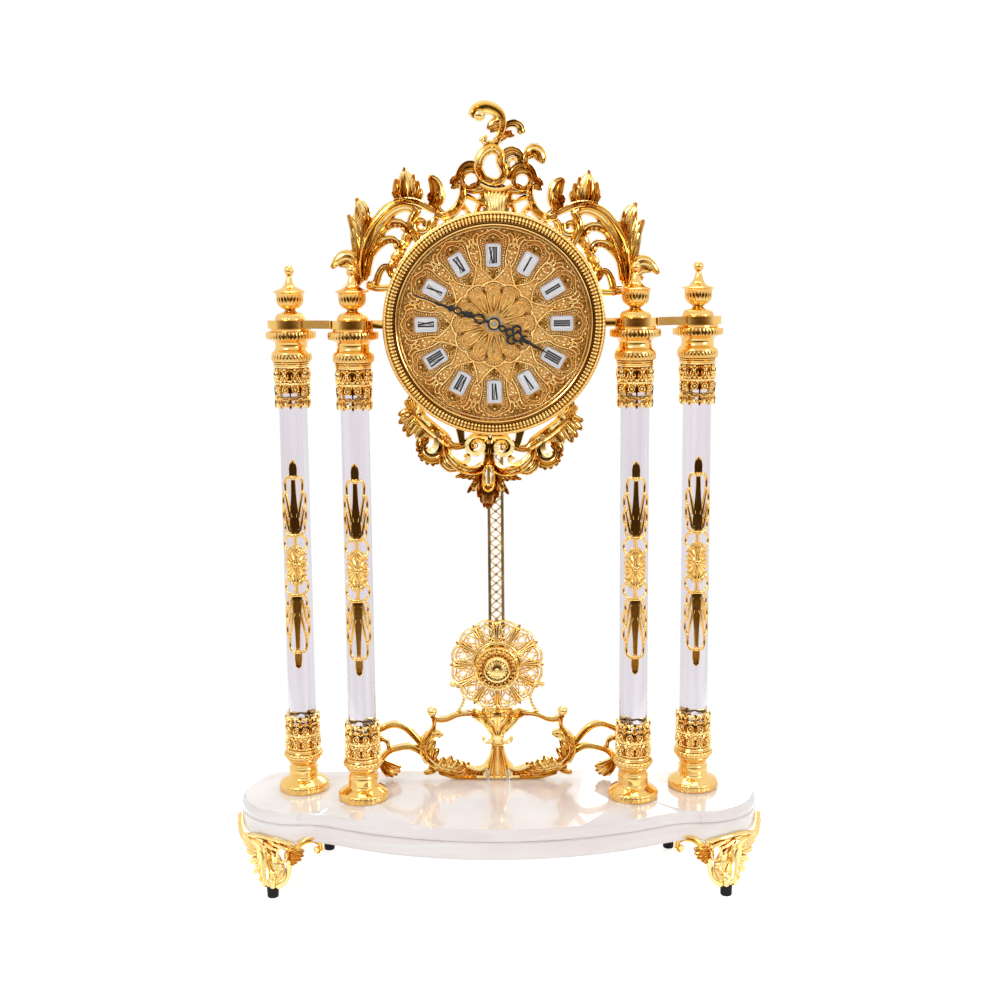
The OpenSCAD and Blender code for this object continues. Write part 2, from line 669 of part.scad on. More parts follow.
// Crest, drawn for a bezel 80 in radius about the drum's axis; half of the even part to the right
module crest_half() {
    stroke([[95, 31], [95, 40], [94, 50], [91, 61], [86, 71.5], [78, 79.5], [69, 83.5], [62, 83], [57, 79]], 6, 7);
    stroke([[93, 48], [87, 61], [81.5, 68], [75, 70.5], [68, 70], [64, 67]], 6, 4);
    stroke([[94, 34], [91.5, 46], [87, 53], [80, 58], [74, 58.5], [71, 55.5]], 5, 4);
    stroke([[92, 26], [87.5, 26], [85, 34], [82, 38.5], [78, 39], [75.5, 35]], 4, 4);
    stroke([[76, 24.5], [84, 23.6], [92, 25]], 4.4, 4.4);
    polygon([[94, 45], [92.5, 60], [92, 72], [95.5, 82], [101.5, 90.3], [103, 80], [106, 76.5], [103, 64], [98, 45]]);
    polygon([[94, 30], [99, 40], [103, 46], [109, 48.5], [114, 45.5], [118, 39.8], [111, 40.5], [105, 39], [102, 35], [98, 29]]);
    polygon([[52, 84], [52.5, 98], [55.5, 106], [60, 110.5], [64, 112], [64.5, 107], [67.5, 104], [71, 103.5], [71.5, 97], [71.5, 84]]);
    polygon([[40, 80], [38.8, 94], [40.5, 101.5], [43.5, 105.5], [47, 106.3], [46.5, 100], [45.5, 94], [48, 89.5], [55, 87.5], [58, 82], [46, 82]]);
    stroke([[43, 80], [36, 79.5], [30.5, 81.5], [27, 86], [25, 92], [24, 98]], 5, 4);
    stroke([[44, 82], [42, 75], [46, 69], [44, 64]], 5, 5);
    stroke([[57, 79], [60, 72], [58, 64], [55, 56]], 5, 5);
    hoop([53, 69], 3.6, 3.4);
    hoop([18.5, 103], 5.6, 4);
    stroke([[9, 106], [14, 112], [20, 113.5], [25, 110], [28, 104], [32.5, 100.5]], 4.5, 3);
    stroke([[23, 97], [15, 94], [4, 98]], 4, 4);
    stroke([[25, 93], [16, 90], [8, 84]], 4, 4);
    stroke([[26, 88], [22, 82], [18, 76]], 4, 5);
    stroke([[9, 90], [13, 82], [14, 76]], 3, 5);
    stroke([[36, 80], [34, 72]], 6, 8);
    polygon([[0, 99], [8, 98], [9, 88], [6, 77], [0, 77]]);
    for (a = [26 : 6 : 56]) rotate(a) translate([81, 0]) circle(3, $fn = 16);
}
module crest_plume() {
    stroke([[-3, 101.5], [-10, 104.5], [-13.5, 112], [-10.5, 121], [-3, 125.5], [2.5, 121], [2.5, 115], [5, 109],
        [2, 103], [-3, 101.5]], 5, 5);
    stroke([[5, 107], [3.3, 113.4], [3.7, 119.4], [7.6, 123.4], [12.5, 124], [16.5, 121.6], [16, 117.6]], 4, 4);
    stroke([[26, 107], [21.3, 113.7], [20.7, 119.7], [24.6, 122.8], [28.6, 122.4], [32, 119.5]], 3.4, 6.5);
    stroke([[-3, 125], [1.3, 134.1], [3.5, 141.2], [2.4, 148.2], [-2.3, 154], [-9.3, 156.4], [-15.3, 153.5],
        [-16.6, 150.4]], 4, 8.4);
    stroke([[3.1, 138], [6, 142.3], [12, 143.4], [16, 142], [17.4, 139]], 3.4, 6);
    stroke([[-2, 131], [3.2, 134.2], [9.2, 137.4]], 4, 2.6);
    stroke([[-11, 131.6], [-4, 131.4], [1, 134]], 5, 3);
    stroke([[-6, 142.4], [0, 143.4], [4, 140]], 4, 3);
}
module crest() {
    k = bezel_r / 79.8;
    color(gold) difference() {
        translate([0, 0, axis_z]) plate(crest_y, casting_t) difference() {
            rotate(-crest_turn) union() {
                scale(k) {
                    both() crest_half();
                    crest_plume();
                }
                rotate(17) intersection() {
                    circle(bezel_r - 1, $fn = 120);
                    polygon([[0, 0], [300, 0], [300, 300], [-300, 300], [-300 * cos(34), 300 * sin(34)]]);
                }
            }
            circle(drum_r + 0.2, $fn = 180);
        }
        for (c = [COLUMNS[1], COLUMNS[2]]) translate([c[0], c[1], finial_z])
            cylinder(h = lid_h + 1.4 + loose_gap, r = lid_d / 2 + loose_gap);
    }
}

// Drop ornament under the drum, drawn for a bezel 80 in radius about the drum's axis
module drop_half() {
    hoop([10, -88.3], 4, 4.4);
    translate([10, -88.3]) circle(1.9, $fn = 20);
    stroke([[15, -87], [20, -88.5], [27, -89], [34, -84], [44, -77], [54, -68], [60, -58]], 5, 7);
    stroke([[1, -98], [3.5, -104], [10, -107], [18, -106], [26, -101], [31, -94], [31, -86]], 4.6, 4);
    stroke([[29, -95], [25, -98.5], [19, -101.5], [15, -99.5], [15.5, -96.5]], 3.4, 2.6);
    stroke([[22, -104], [28.5, -105.4], [33, -100], [34, -94]], 3, 4);
    stroke([[33, -83], [32.5, -92], [36, -99.5], [43, -100], [48, -95], [48, -89.5], [44, -87.5]], 4.6, 3);
    stroke([[40, -80], [40, -87], [42, -93]], 5, 3);
    stroke([[48, -75], [53, -80], [59, -85]], 6, 3);
    stroke([[54, -68], [58, -72], [64, -75]], 6, 2.6);
    polygon([[0, -86], [3, -96], [5, -104], [14, -109], [23, -112.5], [15, -115.5], [10, -118], [14.4, -123.4],
        [6, -127.5], [3.6, -134], [0, -135.3]]);
    stroke([[6, -86], [5, -80], [6, -74]], 4, 8);
    stroke([[20, -88], [22, -80], [22, -72]], 3, 6);
}
module drop_ornament() {
    k = bezel_r / 79.8;
    color(gold) translate([0, 0, axis_z]) plate(drop_y, casting_t - 1) difference() {
        rotate(-drop_turn) union() {
            scale(k) both() drop_half();
            rotate(226) intersection() {
                circle(bezel_r - 1.4, $fn = 120);
                polygon([[0, 0], [300, 0], [300, 300], [0, 300], [300 * cos(88), 300 * sin(88)]]);
            }
        }
        circle(drum_r + 0.2, $fn = 180);
        rotate(-drop_turn) scale(k) hull() {
            translate([0, -105]) circle(3.2, $fn = 24);
            translate([0, -116]) circle(3.8, $fn = 24);
        }
    }
}

// Movement case, open at the back: gear bay below, battery bay above, bush in front
module movement_case() {
    low = axis_z - case_down;
    split = battery_z - bay - wall;
    color(black) difference() {
        union() {
            translate([-move_w / 2, case_y, low]) cube([move_w, move_t, case_up + case_down]);
            rod_y(dial_y - 1.8, 3.6, bush_out);
        }
        translate([-move_w / 2 + wall, case_y + wall, low + wall])
            cube([move_w - 2 * wall, move_t, split - low - wall]);
        translate([-move_w / 2 + wall, case_y + wall, battery_z - bay])
            cube([move_w - 2 * wall, move_t, 2 * bay]);
        rod_y(dial_y - 3, 8, bush_in);
        rod_y(case_y + 0.4, 3, 0.8 + run_gap, gear_gap);
    }
}

// Cover of the gear bay, with the bearings and the boss of the pendulum's pin
module movement_cover() {
    low = axis_z - case_down;
    split = battery_z - bay - wall;
    color(black) difference() {
        union() {
            translate([-move_w / 2, cover_y, low]) cube([move_w, cover_t, split - low]);
            rod_y(cover_y - 7.4, 7.6, 2.6);
            rod_y(cover_back - 0.1, 0.7, 3.4, 0, swing_z);
            rod_y(cover_y - 3, 3.2, 2.6, 0, swing_z);
        }
        rod_y(cover_y - 8, 6, pivot_r + run_gap);
        rod_y(cover_y - 1, cover_t + 2, stem_r + run_gap, gear_gap);
        rod_y(cover_y - 2, cover_t + 4, 1.03, 0, swing_z);
    }
}

module bush_nut() {
    color("silver") difference() {
        rod_y_hex(dial_y - 1.6, 1.5, 6);
        rod_y(dial_y - 3, 4, bush_out + 0.05);
    }
}
module rod_y_hex(y, h, r) {
    translate([0, y, axis_z]) rotate([-90, 0, 0]) cylinder(h = h, r = r, $fn = 6);
}

// Circuit board with the coil that drives the hands and the pendulum
module drive_circuit() {
    color("darkgreen") {
        translate([-24, cover_y - 5, axis_z - case_down + 4]) cube([15, 1.2, 32]);
        translate([-17, cover_y - 5 - 4.2, axis_z - case_down + 8]) {
            cylinder(h = 2, r = 4.5);
            translate([0, 0, 1]) cylinder(h = 20, r = 3.2);
            translate([0, 0, 20]) cylinder(h = 2, r = 4.5);
        }
    }
}

module battery_contacts() {
    x = move_w / 2 - wall;
    color("silver") for (s = [-1, 1]) translate([s * (x - 0.25), battery_y, battery_z])
        cube([0.5, 9, 9], center = true);
}

module battery() {
    color("steelblue") translate([-battery_len / 2, battery_y, battery_z]) rotate([0, 90, 0]) {
        cylinder(h = battery_len - 1.2, r = battery_r);
        cylinder(h = battery_len, r = 2.7);
    }
}

// Gear with thin teeth, so a pair keeps its backlash
module gear(n, h, m = gear_m) {
    p = m * n / 2;
    linear_extrude(h) offset(delta = 0.001) {
        circle(p - 1.15 * m, $fn = max(24, n * 2));
        for (i = [0 : n - 1]) rotate(360 * i / n)
            polygon([[p - 1.4 * m, -0.62 * m], [p, -0.62 * m], [p + 0.8 * m, -0.26 * m],
                [p + 0.8 * m, 0.26 * m], [p, 0.62 * m], [p - 1.4 * m, 0.62 * m]]);
    }
}
module gear_y(n, y, h, x = 0, turn = 0) {
    translate([x, y, axis_z]) rotate([-90, 0, 0]) rotate([0, 0, turn]) gear(n, h);
}

// Minute arbor with its ten-leaf pinion
module cannon_pinion() {
    y = gear_y + gear_w + 1;
    color("silver") {
        rod_y(minute_y - 1, y - minute_y + 1.5, arbor_r);
        gear_y(cannon_n, y, gear_w + 0.4);
        rod_y(y + 2, cover_y - y - 5, pivot_r);
    }
}

// Minute wheel and its pinion on the stem that carries the setting knob
module minute_wheel() {
    y = gear_y + gear_w + 1;
    color("silver") {
        gear_y(wheel_n, y + 0.2, gear_w, gear_gap, 180 / wheel_n);
        gear_y(leaf_n, gear_y - 0.1, gear_w + 1.5, gear_gap, 180 / leaf_n);
        rod_y(case_y + 0.6, 3, 0.8, gear_gap);
        rod_y(y + 0.2, cover_back + 5 - y, stem_r, gear_gap);
    }
}

// Hour wheel with its tube through the bush
module hour_wheel() {
    color("silver") difference() {
        union() {
            gear_y(hour_n, gear_y, gear_w);
            rod_y(hour_y - 0.15, gear_y - hour_y + 1, tube_out);
        }
        rod_y(hour_y - 1, gear_y - hour_y + gear_w + 2, tube_in);
    }
}

// Open serpentine hand drawn upwards
module minute_shape() {
    circle(4.6, $fn = 48);
    stroke([[0, 4], [0, 9]], 1.6, 1.2);
    stroke([[0, 8], [1.8, 11], [0, 14], [-1.8, 17], [0, 20]], 1.1, 1.1);
    stroke([[0, 8], [-1.8, 11], [0, 14], [1.8, 17], [0, 20]], 1.1, 1.1);
    stroke([[0, 20], [1.2, 23], [0, 26]], 1.1, 1.1);
    stroke([[0, 20], [-1.2, 23], [0, 26]], 1.1, 1.1);
    stroke([[0, 26], [0, minute_len - 0.4]], 1.8, 0.7);
}
module minute_hand() {
    color(black) difference() {
        translate([0, 0, axis_z]) plate(minute_y, hand_t) rotate(-minute_at) minute_shape();
        rod_y(minute_y - 1, 3, arbor_r + 0.02);
    }
}
module hour_shape() {
    circle(4.6, $fn = 48);
    stroke([[0, 4], [0, 10]], 1.8, 1.4);
    for (s = [-1, 1]) {
        stroke([[0, 10], [s * 3, 13], [s * 4.4, 17], [s * 1.6, 20], [0, 18]], 1.3, 1.3);
        stroke([[0, 18], [s * 3.4, 22], [s * 3, 26], [0, 29]], 1.3, 1.3);
        stroke([[0, 18], [s * 1.2, 25]], 1.2, 1);
    }
    stroke([[0, 28], [0, hour_len - 0.5]], 2.2, 0.8);
}
module hour_hand() {
    color(black) difference() {
        translate([0, 0, axis_z]) plate(hour_y, hand_t) rotate(-hour_at) hour_shape();
        rod_y(hour_y - 1, 3, tube_out + 0.02);
    }
}

module hand_nut() {
    color(gold) difference() {
        turned_y() polygon([[arbor_r + 0.03, minute_y - 0.05], [3.2, minute_y - 0.05], [3.2, minute_y - 0.5],
            [2.6, minute_y - 0.9], [arbor_r + 0.03, minute_y - 0.9]]);
    }
}

module set_knob() {
    color(black) difference() {
        rod_y(cover_back + 0.6, 4.2, knob_d / 2, gear_gap);
        rod_y(cover_back - 1, 8, stem_r + 0.02, gear_gap);
        for (a = [0 : 20 : 340]) translate([gear_gap, 0, axis_z]) rotate([0, a, 0])
            rod_y(cover_back - 1, 8, 0.5, knob_d / 2 + 0.1, 0);
    }
}

// Lever that swings on the pin, with the peg that the rod hangs on
module pendulum_hanger() {
    y = cover_back + 0.8;
    color(black) difference() {
        union() {
            rod_y(y, 3, 4, 0, swing_z);
            translate([-3, y, swing_z - peg_drop - 3]) cube([6, 3, peg_drop + 3]);
            rod_y(y + 2, swing_y + rod_t - y - 1, peg_r, 0, swing_z - peg_drop);
        }
        rod_y(y - 1, 5, 1 + 0.06, 0, swing_z);
    }
}
module hanger_pin() {
    color("silver") {
        rod_y(cover_y - 1.6, cover_back + 4 - cover_y + 1.7, 1, 0, swing_z);
        rod_y(cover_back + 4, 0.8, 2, 0, swing_z);
    }
}

// Two rails with a column of crosses between them
module pendulum_rod() {
    w = lattice_w / 2;
    top = swing_z - peg_drop + 5;
    foot = bob_z + medal_d / 2 - 8;
    pitch = 6.9;
    n = floor((top - 8 - foot) / pitch);
    color(gold) difference() {
        plate(swing_y - rod_t / 2, rod_t) {
            for (s = [-1, 1]) translate([s * (w - 1) - 1, foot]) square([2, top - foot]);
            for (i = [0 : n - 1], s = [-1, 1])
                stroke([[s * (w - 1.5), foot + i * pitch], [-s * (w - 1.5), foot + (i + 1) * pitch]], 1, 1, 1);
            translate([-w, top - 10]) square([2 * w, 10]);
            translate([-w, foot]) square([2 * w, 8]);
        }
        rod_y(swing_y - 5, 10, peg_r + 0.05, 0, swing_z - peg_drop);
    }
}

// Pierced bob with twelve lobes, leaf ribs and lattice
module pendulum_bob() {
    r = bob_d / 2;
    n = 12;
    color(gold) translate([0, 0, bob_z]) plate(swing_y - rod_t / 2 - bob_t, bob_t) {
        circle(medal_d / 2 + 1.5, $fn = 48);
        for (i = [0 : n - 1]) rotate(360 * i / n) {
            rotate(15) stroke(arc_lobe(r), 2.4, 2.4, 1);
            stroke([[0, medal_d / 2 - 1], [0, r - 2]], 1.8, 4.4);
            for (s = [-1, 1], k = [0 : 1]) rotate(15) stroke([
                [s * (4 + k * 4), medal_d / 2 - 1 + k * 7], [-s * 5, medal_d / 2 + 9 + k * 6]
            ], 1, 1, 1);
        }
    }
}
function arc_lobe(r) = [for (i = [0 : 8]) let (a = -15 + 30 * i / 8) (r - 4 + 3 * cos(a * 6)) * [sin(a), cos(a)]];

module bob_medallion() {
    r = medal_d / 2;
    back = swing_y - rod_t / 2 - bob_t;
    color(gold) turned_y(0, bob_z - 2.5) polygon([
        [0, back], [r, back], [r, back - 1.6], [r - 2, back - 3], [r - 5, back - 3.4], [r - 7, back - 4.6],
        [5, back - 6], [0, back - 6.2]
    ]);
}

onyx_base();
foot_front_left();
foot_front_right();
foot_rear_left();
foot_rear_right();
foot_pads();
foot_screws();
column_base(0);  // column_base_outer_left
column_base(1);  // column_base_inner_left
column_base(2);  // column_base_inner_right
column_base(3);  // column_base_outer_right
lower_sleeves();
column_rod(0);  // rod_outer_left
column_rod(1);  // rod_inner_left
column_rod(2);  // rod_inner_right
column_rod(3);  // rod_outer_right
applique_mount(0);  // applique_outer_left
applique_mount(1);  // applique_inner_left
applique_mount(2);  // applique_inner_right
applique_mount(3);  // applique_outer_right
upper_sleeves();
capital(0);  // capital_outer_left
capital(1);  // capital_inner_left
capital(2);  // capital_inner_right
capital(3);  // capital_outer_right
finial(0);  // finial_outer_left
finial(1);  // finial_inner_left
finial(2);  // finial_inner_right
finial(3);  // finial_outer_right
base_screws();
top_bar_left();
top_bar_right();
gallery_frame();
drum_case();
back_cover();
case_screws();
bezel();
dial_lens();
dial_plate();
numeral_cartouches();
crest();
drop_ornament();
movement_case();
movement_cover();
bush_nut();
drive_circuit();
battery_contacts();
battery();
cannon_pinion();
minute_wheel();
hour_wheel();
minute_hand();
hour_hand();
hand_nut();
set_knob();
pendulum_hanger();
hanger_pin();
pendulum_rod();
pendulum_bob();
bob_medallion();
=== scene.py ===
import json
import math

import bpy
from mathutils import Matrix, Vector

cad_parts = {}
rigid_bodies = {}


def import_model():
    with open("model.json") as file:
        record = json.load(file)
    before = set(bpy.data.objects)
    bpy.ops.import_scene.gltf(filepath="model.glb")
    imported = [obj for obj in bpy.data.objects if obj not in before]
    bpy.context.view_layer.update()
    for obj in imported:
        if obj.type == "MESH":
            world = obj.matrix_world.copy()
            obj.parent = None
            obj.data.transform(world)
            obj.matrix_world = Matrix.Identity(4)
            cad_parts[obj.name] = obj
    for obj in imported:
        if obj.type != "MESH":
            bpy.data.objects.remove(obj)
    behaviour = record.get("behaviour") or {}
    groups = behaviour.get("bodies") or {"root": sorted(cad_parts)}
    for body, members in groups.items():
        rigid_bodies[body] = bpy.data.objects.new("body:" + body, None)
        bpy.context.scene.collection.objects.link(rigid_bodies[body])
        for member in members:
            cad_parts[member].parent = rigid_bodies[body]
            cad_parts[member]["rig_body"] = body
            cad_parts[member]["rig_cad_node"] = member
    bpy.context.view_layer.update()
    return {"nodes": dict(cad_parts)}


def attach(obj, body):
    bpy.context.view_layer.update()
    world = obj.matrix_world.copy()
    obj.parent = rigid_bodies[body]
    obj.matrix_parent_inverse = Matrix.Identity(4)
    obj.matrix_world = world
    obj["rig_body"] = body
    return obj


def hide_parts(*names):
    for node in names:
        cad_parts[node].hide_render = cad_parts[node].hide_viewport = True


bl_info = {
    "name": "Portico Mantel Clock",
    "version": (1, 0, 0),
    "blender": (4, 5, 0),
    "location": "3D View > Sidebar > Clock",
    "description": "Dresses the solids of a portico clock with castings, crystal, onyx and a dial",
    "category": "Object",
}

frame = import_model()

# Places on the clock in mm; the frame itself is in metres
MM = 0.001
AXIS_Z = 424.0
FACE_Y = -19.7
DIAL_Y = -10.7
SWING_Y = 15.3
BOB_Z = 164.5
LOBE = (152.5, 17.3)
COLUMNS = ((-151.5, 25.3), (-103.0, 4.8), (103.0, 4.8), (151.5, 25.3))
COLUMN_NAMES = ("outer_left", "inner_left", "inner_right", "outer_right")
# Ends of the crystal rods, and the height of the sleeve at each end
ROD_LOW, ROD_TOP = 95, 393
SLEEVE_LOW, SLEEVE_TOP = 29, 32

# Cross-sections of a cast stroke: place across it from -1 to 1, and height as a share of the relief
ROUND = ((-1, 0), (-0.95, 0.4), (-0.62, 0.85), (0, 1), (0.62, 0.85), (0.95, 0.4), (1, 0))
SCROLL = (
    (-1, 0), (-1, 0.5), (-0.74, 0.95), (-0.45, 0.8), (-0.1, 0.45), (0.3, 0.5), (0.62, 0.95), (0.9, 0.8),
    (1, 0),
)
LEAF = (
    (-1, 0), (-1, 0.3), (-0.8, 0.75), (-0.52, 0.5), (-0.22, 0.6), (0, 1),
    (0.22, 0.6), (0.52, 0.5), (0.8, 0.75), (1, 0.3), (1, 0),
)
RIDGE = ((-1, 0), (-0.9, 0.3), (0, 1), (0.9, 0.3), (1, 0))
FLAT = ((-1, 0), (-1, 0.8), (-0.8, 1), (0.8, 1), (1, 0.8), (1, 0))
HOLLOW = (
    (-1, 0), (-1, 0.85), (-0.85, 1), (-0.45, 0.68), (0, 0.56), (0.45, 0.68), (0.85, 1), (1, 0.85), (1, 0),
)

# Width and relief of a leaf from its root to its tip
LEAF_WIDTHS = (0.6, 0.9, 1.06, 1.1, 1.02, 0.78, 0.38)
LEAF_RISES = (0.75, 0.95, 1.0, 1.0, 0.96, 0.86, 0.66)
# Where a frill begins and ends on its curve
FRILL_START, FRILL_END = 0.1, 0.95
# Backs of strokes that cross, and copies of a drawing, lie a hair apart in mm, so that none shades another
BACK_STEP, BACK_STEPS = 0.003, 37
COPY_STEP = 0.0011
# End of a stroke: how far it rounds off as a share of the width, up to a width, and its own width and height
CAP_REACH, CAP_LIMIT, CAP_WIDTH, CAP_HEIGHT = 0.22, 8.0, 0.45, 0.6
# How much higher the dial's relief stands than it is drawn, and the relief that the crest is drawn for
DIAL_RISE = 1.4
CREST_RELIEF = 6.0 * MM
# Two points nearer than this, in metres, are one
SEAM = 0.000002


def clear():
    """Leave edit mode and deselect everything."""
    if bpy.context.object and bpy.context.object.mode != "OBJECT":
        bpy.ops.object.mode_set(mode="OBJECT")
    bpy.ops.object.select_all(action="DESELECT")


def pick(piece):
    """Make a piece the only selected and the active one."""
    clear()
    piece.select_set(True)
    bpy.context.view_layer.objects.active = piece


def smooth(piece, angle=40):
    """Close seams, turn the faces outwards and shade smooth up to an angle."""
    pick(piece)
    bpy.ops.object.mode_set(mode="EDIT")
    bpy.ops.mesh.select_all(action="SELECT")
    bpy.ops.mesh.remove_doubles(threshold=SEAM)
    bpy.ops.mesh.normals_make_consistent(inside=False)
    bpy.ops.object.mode_set(mode="OBJECT")
    bpy.ops.object.shade_smooth_by_angle(angle=math.radians(angle))


def finish(piece, body, material, slot, *nodes):
    """Give a piece its body and its material, and hide the nodes that it stands for; the slot is not used."""
    piece.data.materials.clear()
    piece.data.materials.append(material)
    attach(piece, body)
    if nodes:
        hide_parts(*nodes)


def dress(material, *nodes):
    """Give carried-over nodes a material."""
    for node in nodes:
        data = frame["nodes"][node].data
        data.materials.clear()
        data.materials.append(material)


def copy_to(piece, name, shift):
    """Copy a finished piece with its own mesh and move the mesh."""
    twin = piece.copy()
    twin.data = piece.data.copy()
    twin.name = name
    twin.data.transform(Matrix.Translation(Vector(shift) * MM))
    bpy.context.collection.objects.link(twin)
    return twin


def own_copy(node, name):
    """Copy a node's solid as a new piece to work on."""
    source = frame["nodes"][node]
    piece = source.copy()
    piece.data = source.data.copy()
    piece.name = name
    piece.parent = None
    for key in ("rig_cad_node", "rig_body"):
        if key in piece:
            del piece[key]
    bpy.context.collection.objects.link(piece)
    return piece


def at_columns(first, prefix):
    """Yield the outer left column's piece, then a copy of it at each other column, with the column's name."""
    x, y = COLUMNS[0]
    yield first, COLUMN_NAMES[0]
    for (u, v), name in zip(COLUMNS[1:], COLUMN_NAMES[1:]):
        yield copy_to(first, prefix + name, (u - x, v - y, 0)), name


def join(name, pieces):
    """Join pieces into one."""
    clear()
    for piece in pieces:
        piece.select_set(True)
    bpy.context.view_layer.objects.active = pieces[0]
    bpy.ops.object.join()
    pieces[0].name = name
    return pieces[0]


def turned(name, profile, at=(0, 0, 0), upright=True, steps=64):
    """Spin a profile of (radius, height) points in mm about an upright or a front-to-back axis."""
    clear()
    cx, cy, cz = at
    axis = (0, 0, 1) if upright else (0, 1, 0)
    points = [Vector((cx + r, cy, cz + h) if upright else (cx + r, cy + h, cz)) * MM for r, h in profile]
    bpy.ops.mesh.primitive_plane_add(size=MM, location=points[0])
    piece = bpy.context.object
    piece.name = name
    bpy.ops.object.transform_apply(location=True, rotation=True, scale=True)
    bpy.ops.object.mode_set(mode="EDIT")
    bpy.ops.mesh.select_all(action="SELECT")
    bpy.ops.mesh.merge(type="CENTER")
    for last, point in zip(points, points[1:]):
        bpy.ops.mesh.extrude_region_move(TRANSFORM_OT_translate={"value": point - last})
    bpy.ops.mesh.select_all(action="SELECT")
    bpy.ops.mesh.spin(steps=steps, angle=2 * math.pi, center=Vector(at) * MM, axis=axis)
    bpy.ops.object.mode_set(mode="OBJECT")
    smooth(piece, 35)
    return piece


def flute(piece, at, low, high, count, depth, upright=True, along=False, full=1.0):
    """Press ribs round a turned piece, inwards between two heights, or along the axis between two radii."""
    cx, cy, cz = at
    for v in piece.data.vertices:
        x = v.co.x / MM - cx
        y = v.co.y / MM - cy
        z = v.co.z / MM - cz
        a, b, h = (x, y, z) if upright else (x, z, y)
        r = math.hypot(a, b)
        if r < 0.01 or not low <= (r if along else h) <= high:
            continue
        part = count * math.atan2(b, a) / (2 * math.pi)
        across = (2 * (part - math.floor(part)) - 1) / full
        wave = 1 - math.sqrt(max(0.0, 1 - across * across))
        if along:
            h += depth * wave
        else:
            a *= 1 - depth * wave / r
            b *= 1 - depth * wave / r
        v.co = Vector((cx + a, cy + b, cz + h) if upright else (cx + a, cy + h, cz + b)) * MM


def spread(values, t):
    """Read a list of values evenly spread over 0 to 1."""
    if not isinstance(values, (tuple, list)):
        return values
    k = t * (len(values) - 1)
    i = min(int(k), len(values) - 2)
    return values[i] + (values[i + 1] - values[i]) * (k - i)


def curve(points, steps=4, closed=False):
    """Smooth curve through given points."""
    n = len(points)
    out = []
    last = n if closed else n - 1
    for i in range(last):
        if closed:
            a, b, c, d = (points[(i + k) % n] for k in (-1, 0, 1, 2))
        else:
            a, b, c, d = (points[min(max(i + k, 0), n - 1)] for k in (-1, 0, 1, 2))
        for k in range(steps):
            t = k / steps
            out.append(tuple(
                0.5 * (2 * b[j] + (c[j] - a[j]) * t + (2 * a[j] - 5 * b[j] + 4 * c[j] - d[j]) * t * t
                       + (3 * b[j] - a[j] - 3 * c[j] + d[j]) * t * t * t)
                for j in (0, 1)
            ))
    if not closed:
        out.append(tuple(points[-1][:2]))
    return out


def end_cap(ring, way):
    """Smaller ring that rounds off one end of a stroke; way is -1 at its start and 1 at its end."""
    (u, z), tx, tz, half, high = ring
    reach = min(2 * half, CAP_LIMIT) * CAP_REACH * way
    return (u + tx * reach, z + tz * reach), tx, tz, half * CAP_WIDTH, high * CAP_HEIGHT


